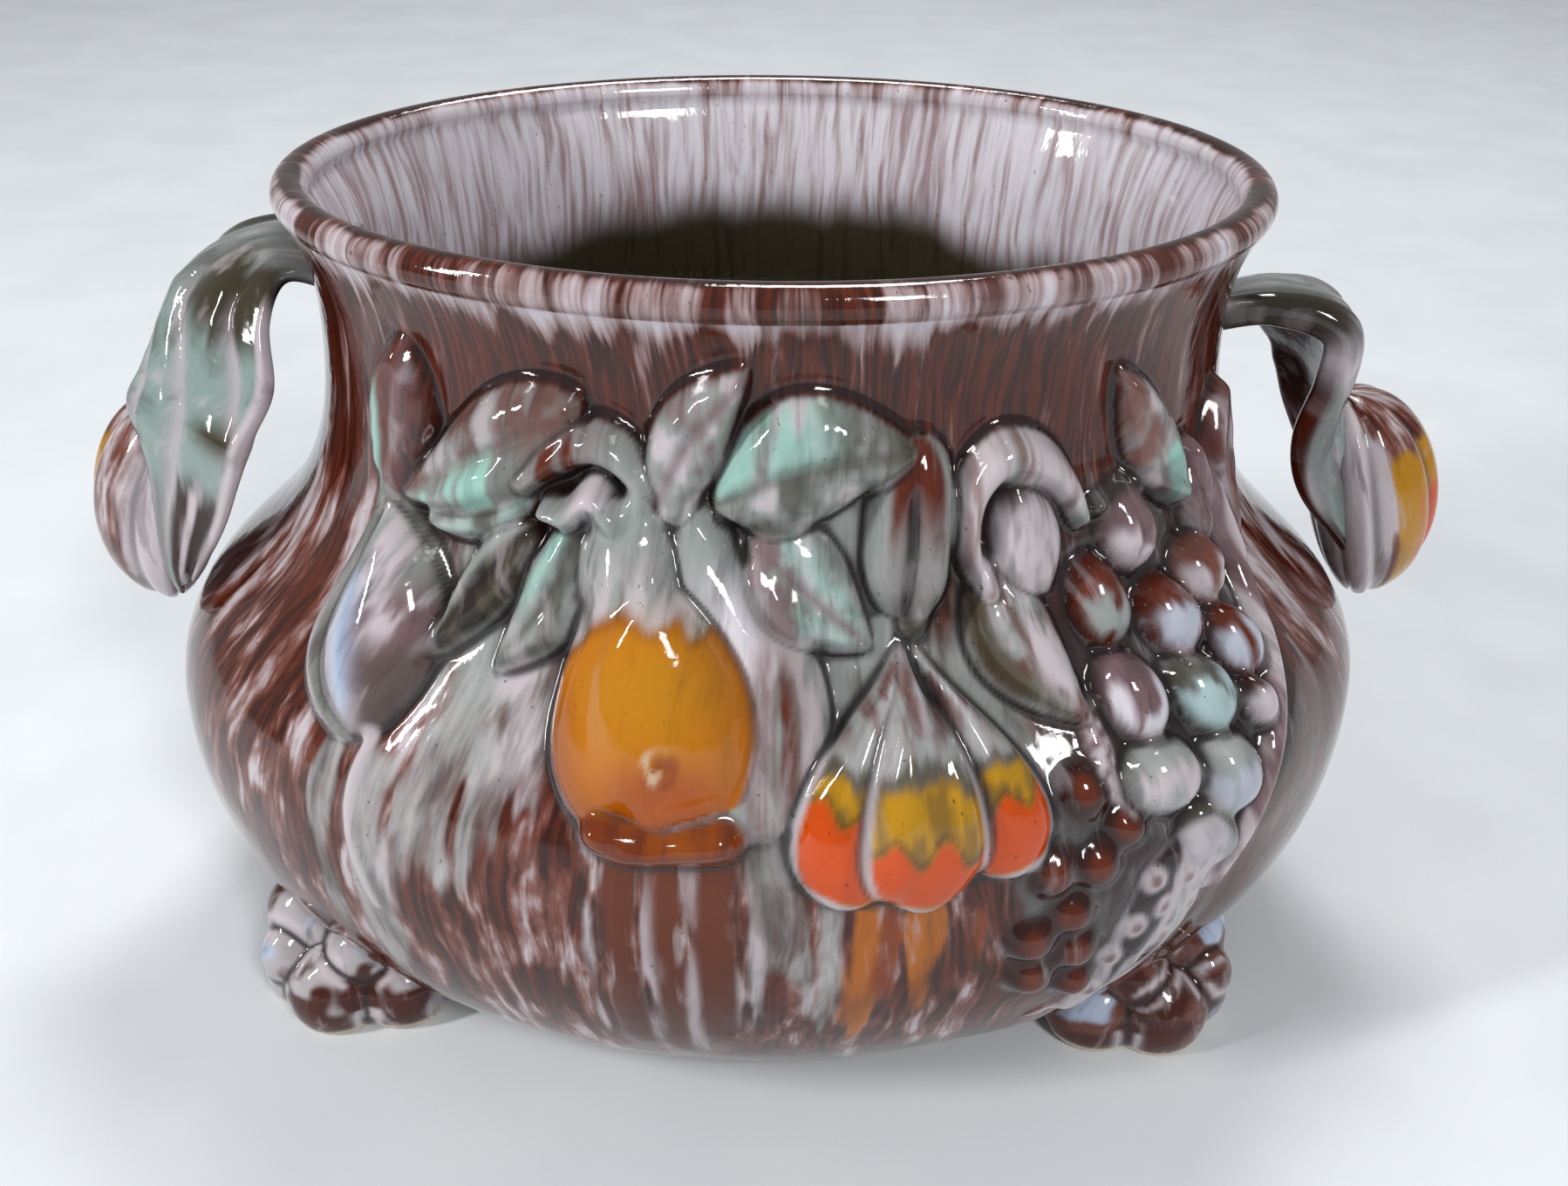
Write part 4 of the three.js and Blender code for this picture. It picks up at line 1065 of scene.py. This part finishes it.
def build_leaf(hand):
    """A thick leaf with a rolled bead, winding grooves and a fold at its free edge."""
    lines, seed = LEAF_LINES[hand], LEAF_SEEDS[hand]
    turns = 2 * math.pi * np.arange(LEAF_ROUND) / LEAF_ROUND
    s, turn = np.meshgrid(np.linspace(0, 1, LEAF_ROWS), turns, indexing="ij")
    tip = np.sqrt(np.clip((1.0 - s) / TIP_SHARE, 0, 1))
    q = 0.5 - 0.5 * np.cos(turn) * (0.3 + 0.7 * tip)
    outside = np.sin(turn)
    after, before = np.minimum(s + SHARE_STEP, 1), np.maximum(s - SHARE_STEP, 0)
    along = leaf_middle(lines, after, q) - leaf_middle(lines, before, q)
    across = leaf_middle(lines, s, q + SHARE_STEP) - leaf_middle(lines, s, q - SHARE_STEP)
    normal = np.cross(along, across)
    normal /= np.linalg.norm(normal, axis=-1)[..., None]
    thinning = 1 - 0.25 * smooth(0.6, 1, s)
    blade = (LEAF_BLADE * (1 - q) + LEAF_EDGE * q) * thinning
    round_bead = np.sqrt(np.maximum(0, 1 - (q / BEAD_SHARE) ** 2))
    bead = LEAF_BEAD * (1 - 0.6 * smooth(0.55, 1, s)) * round_bead
    fold = 6.0 * bell(s, 0.60, 0.045) * bell(q, 1, 0.13)
    rim = 1.6 * bell(q, 1, 0.03) * smooth(0.2, 0.35, s)
    half = (np.maximum(blade, bead) + fold + rim) / 2 * (0.15 + 0.85 * tip)
    front = smooth(0.0, 0.25, outside)
    grooves = leaf_grooves(s, q, seed)
    ridge = 0.5 - 0.5 * np.cos(2 * math.pi * (2.2 * q + 0.25 * np.sin(4 * s)))
    carved = 1.3 * ridge - 1.7 * grooves * smooth(0.03, 0.1, q) * smooth(0.99, 0.93, q)
    lift = front * smooth(0.1, 0.25, s) * carved * tip
    offset = half * np.sign(outside) * np.abs(outside) ** 0.5 + lift
    points = leaf_middle(lines, s, q) + normal * offset[..., None]
    coat = Coat(s.shape, GREY_GREEN)
    paint_handle_leaf(coat, s, q, front, grooves, seed)
    along, across = s * LEAF_LENGTH, q * LEAF_WIDTH
    return finish_grid("handle_leaf_" + hand, points, coat, along, across, 0.4, hand == "left")


def paint_handle_leaf(coat, s, q, front, grooves, seed):
    """Grey-green and mint in front, dark behind, with pale grooves and a striped tip."""
    level = s + 0.14 * (fractal(400 * q, 60 * s, 24, 40, seed + 2) - 0.5)
    cloud = fractal(300 * q, 170 * s, 50, 70, seed + 4)
    back = 1 - front
    bead = smooth(0.26, 0.16, q)
    coat.dab(1, GREY_GREEN * 0.62, 0.92)
    green = front * smooth(0.3, 0.42, level) * smooth(0.32, 0.54, cloud)
    coat.dab(green * 0.7, MINT * 0.5 + LILAC_WHITE * 0.18, 0.95)
    shade = smooth(0.12, 0.2, level) * smooth(0.42, 0.34, level) * smooth(0.5, 0.75, q)
    coat.dab(front * shade, OLIVE * 0.6, 0.95)
    coat.dab(front * grooves * smooth(0.25, 0.4, s) * 0.8, LILAC_WHITE * 0.9, 0.9)
    coat.dab(back * smooth(0.8, 0.65, level), CREVICE * 1.6, 0.97)
    coat.dab(back * smooth(0.6, 0.75, level), CHESTNUT * 0.8, 0.9)
    coat.dab(bead * smooth(0.30, 0.26, level), OLIVE * 0.45, 0.97)
    coat.dab(bead * bell(level, 0.36, 0.06), LILAC_WHITE, 0.95)
    coat.dab(bead * back * smooth(0.42, 0.5, level), CHESTNUT * 0.9, 0.95)
    coat.dab(smooth(0.1, 0.0, level) * front, LILAC_WHITE * 0.8, 0.8)
    tip = smooth(0.72, 0.8, level)
    stripes = 0.5 + 0.5 * np.cos(2 * math.pi * (3.2 * q + 0.15 * np.sin(9 * s)))
    coat.dab(tip * smooth(0.45, 0.6, stripes), CHESTNUT_DARK, 0.95)
    coat.dab(tip * smooth(0.95, 0.99, stripes), LILAC_WHITE, 0.95)
    coat.dab(bell(s, 0.60, 0.05) * smooth(0.82, 0.92, q), OLIVE * 0.7, 0.95)
    rim = smooth(0.965, 0.985, q) * smooth(0.2, 0.3, s) * smooth(0.97, 0.9, s)
    coat.dab(rim, LILAC_WHITE, 0.9)
    coat.line += front * 0.55 * np.clip(grooves - 0.5, 0, 1) * smooth(0.03, 0.1, q)


# Fruits pressed onto the handles: a ribbed gourd that leans outwards
FRUIT_UP, FRUIT_OUT, FRUIT_LEAN = 43, 17, 15
FRUIT_RISE, FRUIT_SUNK, FRUIT_HALF_WIDTH, FRUIT_HALF_HEIGHT = 24, 9, 21, 31
FRUIT_RIBS, FRUIT_ROWS, FRUIT_ROUND = 7, 70, 140


def build_fruit(hand):
    down, round_it = closed_grid(FRUIT_ROWS, FRUIT_ROUND, -math.pi)
    rib = FRUIT_RIBS * (round_it + 0.16 * np.sin(down)) / (2 * math.pi)
    crease = bell(np.mod(rib, 1), 0.5, 0.13) * np.sin(down) ** 0.5
    swell = np.sin(down) ** 0.85 * (1 - 0.075 * crease)
    outwards = np.cos(round_it) * swell
    x = outwards * np.where(outwards > 0, FRUIT_RISE, FRUIT_SUNK)
    y = np.sin(round_it) * swell * FRUIT_HALF_WIDTH
    z = np.cos(down) * (FRUIT_HALF_HEIGHT - 2.0 * crease)
    lean = math.radians(FRUIT_LEAN)
    leant = [x * math.cos(lean) - z * math.sin(lean), y, x * math.sin(lean) + z * math.cos(lean)]
    points = wall_point(SIDE, FRUIT_UP, FRUIT_OUT) + np.stack(leant, axis=-1)
    coat = Coat(down.shape)
    ragged = fractal(60 * round_it, 60 * down, 12, 60, 161) - 0.5
    level = down / math.pi + 0.12 * ragged
    across = np.degrees(round_it) + 30 * ragged
    coat.dab(smooth(-72, -84, across) + smooth(40, 70, across), LILAC_WHITE, 0.8)
    warm = smooth(-76, -60, across) * smooth(34, 12, across) * smooth(0.26, 0.38, level)
    coat.dab(warm, YELLOW * 0.8 + AMBER * 0.2, 1.0)
    cheek = smooth(-52, -40, across) * smooth(0.44, 0.5, level) * smooth(0.8, 0.7, level)
    coat.dab(warm * cheek, ORANGE, 1.0)
    coat.dab(smooth(0.9, 0.95, level), CHESTNUT_DARK, 0.9)
    coat.line += 0.7 * crease**2
    along, across = -FRUIT_HALF_HEIGHT * down, 20 * round_it
    return finish_grid("handle_fruit_" + hand, points, coat, along, across, 0.55, hand == "left")


# Feet: lumps of clay pressed together, as places [x, y, z] from the foot's middle and radii
FOOT_LUMPS = [
    ((-6, 6, 18), (20, 17, 20)), ((-13, -8, 8), (14, 12, 13)), ((4, -11, 9), (13, 11, 14)),
    ((14, 1, 9), (12, 14, 13)), ((11, 5, 25), (13, 13, 13)), ((-20, 4, 20), (6, 9, 12)),
    ((-4, -9, 22), (9, 8, 9)), ((17, -6, 18), (7, 7, 9)),
]
FOOT_CORE = (0, 0, 11)
FOOT_PLACES = {"right": (101, -67, 0), "left": (-117, -56, 0)}
FOOT_SOFTNESS = 0.9
FOOT_REACH, FOOT_STEP = 46, 0.6
FOOT_ROWS, FOOT_ROUND = 110, 180
OTHER = {"left": "right", "right": "left"}


def lump_distances(points):
    """Distances from the points to every lump of a foot."""
    away = [
        (np.linalg.norm((points - at) / radii, axis=-1) - 1) * min(radii) for at, radii in FOOT_LUMPS
    ]
    return np.stack(away, axis=-1)


def foot_surface(ray):
    """How far out along each ray the joined lumps end, above the ground."""
    reach = np.full(ray.shape[:-1], 0.5)
    depth = np.full(ray.shape[:-1], -1.0)
    for far in np.arange(FOOT_REACH, 0, -FOOT_STEP):
        points = np.array(FOOT_CORE) + far * ray
        joined = np.exp(-lump_distances(points) / FOOT_SOFTNESS).sum(-1)
        here = np.maximum(-FOOT_SOFTNESS * np.log(joined + 1e-30), -points[..., 2])
        met = (reach == 0.5) & (here <= 0)
        share = -here[met] / np.maximum(depth[met] - here[met], 1e-6)
        reach[met] = far + FOOT_STEP * share
        depth = here
    return np.array(FOOT_CORE) + reach[..., None] * ray


def build_foot(side, hand):
    """side is 1 in front and -1 behind; hand is the foot's own, left being the mirror image."""
    down, round_it = closed_grid(FOOT_ROWS, FOOT_ROUND)
    level = np.sin(down)
    ray = np.stack([level * np.cos(round_it), level * np.sin(round_it), np.cos(down)], axis=-1)
    points = foot_surface(ray)
    distances = np.sort(lump_distances(points), axis=-1)
    gap = distances[..., 1] - distances[..., 0]
    right = hand == "right"
    p, w = 30 * round_it + (70 if right else 0), 30 * down
    patches = fractal(p, w, 26, 22, 171)
    dark_ground, pale_ground = ROSE_BROWN * 0.6 + CHESTNUT * 0.2, LILAC_WHITE * 0.6 + GREY_GREEN * 0.3
    coat = Coat(down.shape)
    coat.dab(1, dark_ground if right else pale_ground, 0.8)
    coat.dab(smooth(0.52, 0.6, patches), CHESTNUT_DARK * 0.5 + CHESTNUT * 0.4, 0.85)
    coat.dab(smooth(0.42, 0.36, patches), ICE_BLUE, 0.6)
    brushed = smooth(0.45, 0.6, fractal(p, w, 12, 12, 173))
    coat.dab(bell(gap, 2.6, 1.0) * brushed, LILAC_WHITE, 0.9)
    coat.dab(smooth(4.5, 2.5, points[..., 2] + 5 * (patches - 0.5)), CREAM, 0.97)
    coat.line += 0.9 * bell(gap, 0, 1.1) * smooth(0.5, 2, points[..., 2])
    points = points * (1 if right else -1, 1, 1) + FOOT_PLACES[hand]
    name = "clay_foot_" + ("front_" + hand if side > 0 else "back_" + OTHER[hand])
    return finish_grid(name, points, coat, w * 1.5, p, 0.5, side < 0, mirrored=not right)


# Materials
class Nodes:
    """A node tree with short calls for the nodes that the materials share."""

    def __init__(self, name):
        self.material = bpy.data.materials.new(name)
        self.material.use_nodes = True
        self.tree = self.material.node_tree
        self.shader = self.tree.nodes["Principled BSDF"].inputs

    def new(self, kind, **settings):
        node = self.tree.nodes.new(kind)
        for key, value in settings.items():
            setattr(node, key, value)
        return node

    def link(self, source, target):
        """Links an output to the socket, or sets the socket to a number or a colour."""
        if isinstance(source, (int, float)):
            target.default_value = source
        elif isinstance(source, (tuple, np.ndarray)):
            size = len(target.default_value)
            target.default_value = (*[float(x) for x in source], 1.0)[:size]
        else:
            self.tree.links.new(source, target)

    def fill(self, node, values, output=0):
        """Feeds the values to the node's first sockets."""
        for value, socket in zip(values, node.inputs):
            self.link(value, socket)
        return node.outputs[output]

    def plus(self, a, b):
        return self.fill(self.new("ShaderNodeMath", operation="ADD"), (a, b))

    def times(self, a, b):
        return self.fill(self.new("ShaderNodeMath", operation="MULTIPLY"), (a, b))

    def ramp(self, value, low, high, to_low=0.0, to_high=1.0):
        node = self.new("ShaderNodeMapRange", interpolation_type="SMOOTHSTEP")
        return self.fill(node, (value, low, high, to_low, to_high))

    def mix(self, share, a, b, blend="MIX"):
        node = self.new("ShaderNodeMix", data_type="RGBA", blend_type=blend)
        self.link(share, node.inputs[0])
        self.link(a, node.inputs[6])
        self.link(b, node.inputs[7])
        return node.outputs[2]

    def vector(self, operation, *values):
        return self.fill(self.new("ShaderNodeVectorMath", operation=operation), values)

    def noise(self, place, per_mm, detail, output=0):
        node = self.new("ShaderNodeTexNoise")
        self.link(self.vector("MULTIPLY", place, per_mm), node.inputs["Vector"])
        node.inputs["Scale"].default_value = 1.0
        node.inputs["Detail"].default_value = detail
        return node.outputs[output]

    def attribute(self, name):
        return self.new("ShaderNodeAttribute", attribute_name=name).outputs


# Noise cells per millimetre round the bowl, round it and up it, as the glaze has run
DRIFT_CELLS, DRIFT = (0.03, 0.03, 0.02), (16.0, 16.0, 16.0)
WIDE_CELLS, FINE_CELLS, STREAK_CELLS = (0.13, 0.13, 0.042), (0.62, 0.62, 0.032), (0.30, 0.30, 0.024)
CLOUD_CELLS, SPECK_CELLS, PEEL_CELLS = (0.05, 0.05, 0.03), (0.6, 0.6, 0.6), (0.16, 0.16, 0.16)
PEEL_STRENGTH, PEEL_HEIGHT = 0.35, 0.0006
SPECULAR, CLEAR_COAT, CLEAR_COAT_ROUGHNESS = 0.3, 0.3, 0.03


def flambe_glaze(name):
    """Chestnut brown with lilac-white runs, under the tints that are stored on the points."""
    n = Nodes(name)
    place = n.attribute("flow")["Vector"]
    tint = n.attribute("tint")
    alpha = tint["Alpha"]
    shade = n.new("ShaderNodeSeparateColor")
    n.link(n.attribute("glaze")["Color"], shade.inputs[0])
    pale, line, soft = shade.outputs[0], shade.outputs[1], shade.outputs[2]
    hard = n.plus(1.0, n.times(soft, -1.0))

    drift = n.vector("MULTIPLY", n.noise(place, DRIFT_CELLS, 2, output=1), DRIFT)
    here = n.vector("ADD", place, drift)
    wide = n.noise(here, WIDE_CELLS, 5)
    fine = n.noise(here, FINE_CELLS, 3)
    cloud = n.noise(place, CLOUD_CELLS, 3)
    streak = n.noise(here, STREAK_CELLS, 4)
    broad = n.plus(n.times(wide, hard), n.times(streak, soft))
    flame = n.plus(n.plus(n.times(broad, 0.64), n.times(fine, 0.18)), n.times(cloud, 0.18))
    level = n.plus(flame, n.times(n.plus(pale, -0.5), 0.30))

    milky = n.times(soft, n.ramp(pale, 0.3, 0.7))
    brown = n.mix(milky, n.mix(n.ramp(fine, 0.32, 0.7), CHESTNUT_DARK, CHESTNUT), DUSTY)
    between = n.mix(soft, ROSE_BROWN, DUSTY)
    base = n.mix(n.ramp(level, n.ramp(soft, 0, 1, 0.42, 0.40), 0.52), brown, between)
    white_from, white_to = n.ramp(soft, 0, 1, 0.48, 0.41), n.ramp(soft, 0, 1, 0.60, 0.67)
    white = n.mix(milky, LILAC_WHITE, PEARL)
    base = n.mix(n.ramp(level, white_from, white_to), base, white)

    worn = n.times(n.ramp(flame, 0.38, 0.50, 0.35, 0.0), n.ramp(alpha, 0.96, 1.0, 1.0, 0.35))
    body = n.mix(worn, tint["Color"], SAGE_DARK, "MULTIPLY")
    thin = n.times(n.ramp(alpha, 0.96, 1.0, 0.4, 0.0), hard)
    body = n.mix(n.times(n.ramp(flame, 0.52, 0.64), thin), body, LILAC_WHITE)
    ragged = n.times(n.plus(flame, -0.5), n.ramp(soft, 0.0, 1.0, 2.4, 0.4))
    cover = n.plus(alpha, n.times(ragged, alpha))
    colour = n.mix(n.ramp(cover, 0.12, 0.8), base, body)
    colour = n.mix(n.ramp(line, 0.15, 0.95, 0.0, 0.9), colour, CREVICE)
    speck = n.ramp(n.noise(place, SPECK_CELLS, 1), 0.26, 0.2)
    colour = n.mix(n.times(speck, 0.6), colour, CREVICE)

    bump = n.new("ShaderNodeBump")
    bump.inputs["Strength"].default_value = PEEL_STRENGTH
    bump.inputs["Distance"].default_value = PEEL_HEIGHT
    peel = n.plus(n.noise(place, PEEL_CELLS, 2), n.times(fine, 0.15))
    n.link(peel, bump.inputs["Height"])
    n.link(bump.outputs[0], n.shader["Normal"])
    n.link(colour, n.shader["Base Color"])
    n.link(n.ramp(cloud, 0.35, 0.65, 0.05, 0.11), n.shader["Roughness"])
    n.shader["Specular IOR Level"].default_value = SPECULAR
    n.shader["Coat Weight"].default_value = CLEAR_COAT
    n.shader["Coat Roughness"].default_value = CLEAR_COAT_ROUGHNESS
    return n.material


FLAMBE = flambe_glaze("flambe_glaze")


def put_in_place(piece, slot, *nodes):
    piece.data.materials.append(FLAMBE)
    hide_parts(*nodes)
    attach(piece, "root")


garland_nodes = [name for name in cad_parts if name.startswith(("front_", "back_"))]
put_in_place(build_bowl(), "glaze_brown", "bowl", *garland_nodes)
for hand in ("left", "right"):
    put_in_place(build_leaf(hand), "glaze_mint", f"handle_{hand}_leaf")
    put_in_place(build_fruit(hand), "glaze_orange", f"handle_{hand}_fruit")
    put_in_place(build_foot(1, hand), "glaze_plum", f"foot_front_{hand}")
    put_in_place(build_foot(-1, hand), "glaze_plum", f"foot_back_{OTHER[hand]}")


# Camera at the photograph's angle: image width and focal length in pixels, its place in
# millimetres and its turns in degrees
IMAGE_WIDTH, FOCAL_LENGTH = 1798, 1700
CAMERA_SIDE, CAMERA_DISTANCE, CAMERA_HEIGHT = 3.3, 359.04, 321.2
CAMERA_DOWN, CAMERA_YAW, CAMERA_ROLL = 32.14, 2.1, 0.94
SENSOR = 36.0


def add_camera():
    camera = bpy.data.cameras.new("camera")
    camera.sensor_fit = "HORIZONTAL"
    camera.sensor_width = SENSOR
    camera.lens = FOCAL_LENGTH / IMAGE_WIDTH * SENSOR
    camera.clip_start = 0.01
    viewer = bpy.data.objects.new("camera", camera)
    bpy.context.collection.objects.link(viewer)
    turn = Matrix.Rotation(-math.radians(CAMERA_YAW), 3, "Z")
    down = math.radians(CAMERA_DOWN)
    right = turn @ Vector((1, 0, 0))
    up = turn @ Vector((0, math.sin(down), math.cos(down)))
    back = turn @ Vector((0, -math.cos(down), math.sin(down)))
    roll = Matrix.Rotation(math.radians(CAMERA_ROLL), 3, "Z")
    axes = Matrix((right, up, back)).transposed() @ roll
    place = turn @ Vector((CAMERA_SIDE, -CAMERA_DISTANCE, CAMERA_HEIGHT)) * MM
    viewer.matrix_world = Matrix.Translation(place) @ axes.to_4x4()
    bpy.context.scene.camera = viewer


# Studio windows: place and size in metres and power in watts, all turned to the pot's middle
WINDOWS = {
    "window_left": ((-1.25, -0.56, 0.9), (0.11, 0.6), 16),
    "window_right": ((0.6, -1.35, 1.3), (0.34, 0.5), 18),
    "window_top": ((0.2, 0.9, 1.9), (0.6, 0.6), 22),
}
POT_MIDDLE = (0, 0, 0.1)
WORLD_COLOUR, WORLD_STRENGTH = (0.95, 0.97, 1.0, 1), 0.36
FLOOR_SIZE, FLOOR_GRAIN, FLOOR_ROUGHNESS = 12, (14, 14, 14), 0.7
FLOOR_DARK, FLOOR_PALE = srgb(204, 208, 212), srgb(210, 214, 217)


def add_window(name, place, size, power):
    light = bpy.data.lights.new(name, "AREA")
    light.shape = "RECTANGLE"
    light.size, light.size_y = size
    light.energy = power
    lamp = bpy.data.objects.new(name, light)
    bpy.context.collection.objects.link(lamp)
    lamp.location = place
    lamp.rotation_euler = (Vector(place) - Vector(POT_MIDDLE)).to_track_quat("Z", "Y").to_euler()


def add_world():
    world = bpy.data.worlds.new("studio")
    world.use_nodes = True
    background = world.node_tree.nodes["Background"]
    background.inputs[0].default_value = WORLD_COLOUR
    background.inputs[1].default_value = WORLD_STRENGTH
    bpy.context.scene.world = world


def add_floor():
    bpy.ops.mesh.primitive_plane_add(size=FLOOR_SIZE)
    floor = bpy.context.object
    floor.name = "floor"
    n = Nodes("floor_paper")
    place = n.new("ShaderNodeTexCoord").outputs["Object"]
    grain = n.ramp(n.noise(place, FLOOR_GRAIN, 5), 0.3, 0.7)
    n.link(n.mix(grain, FLOOR_DARK, FLOOR_PALE), n.shader["Base Color"])
    n.shader["Roughness"].default_value = FLOOR_ROUGHNESS
    floor.data.materials.append(n.material)


add_camera()
for window_name, window in WINDOWS.items():
    add_window(window_name, *window)
add_world()
add_floor()

bpy.context.scene.view_settings.view_transform = "Standard"
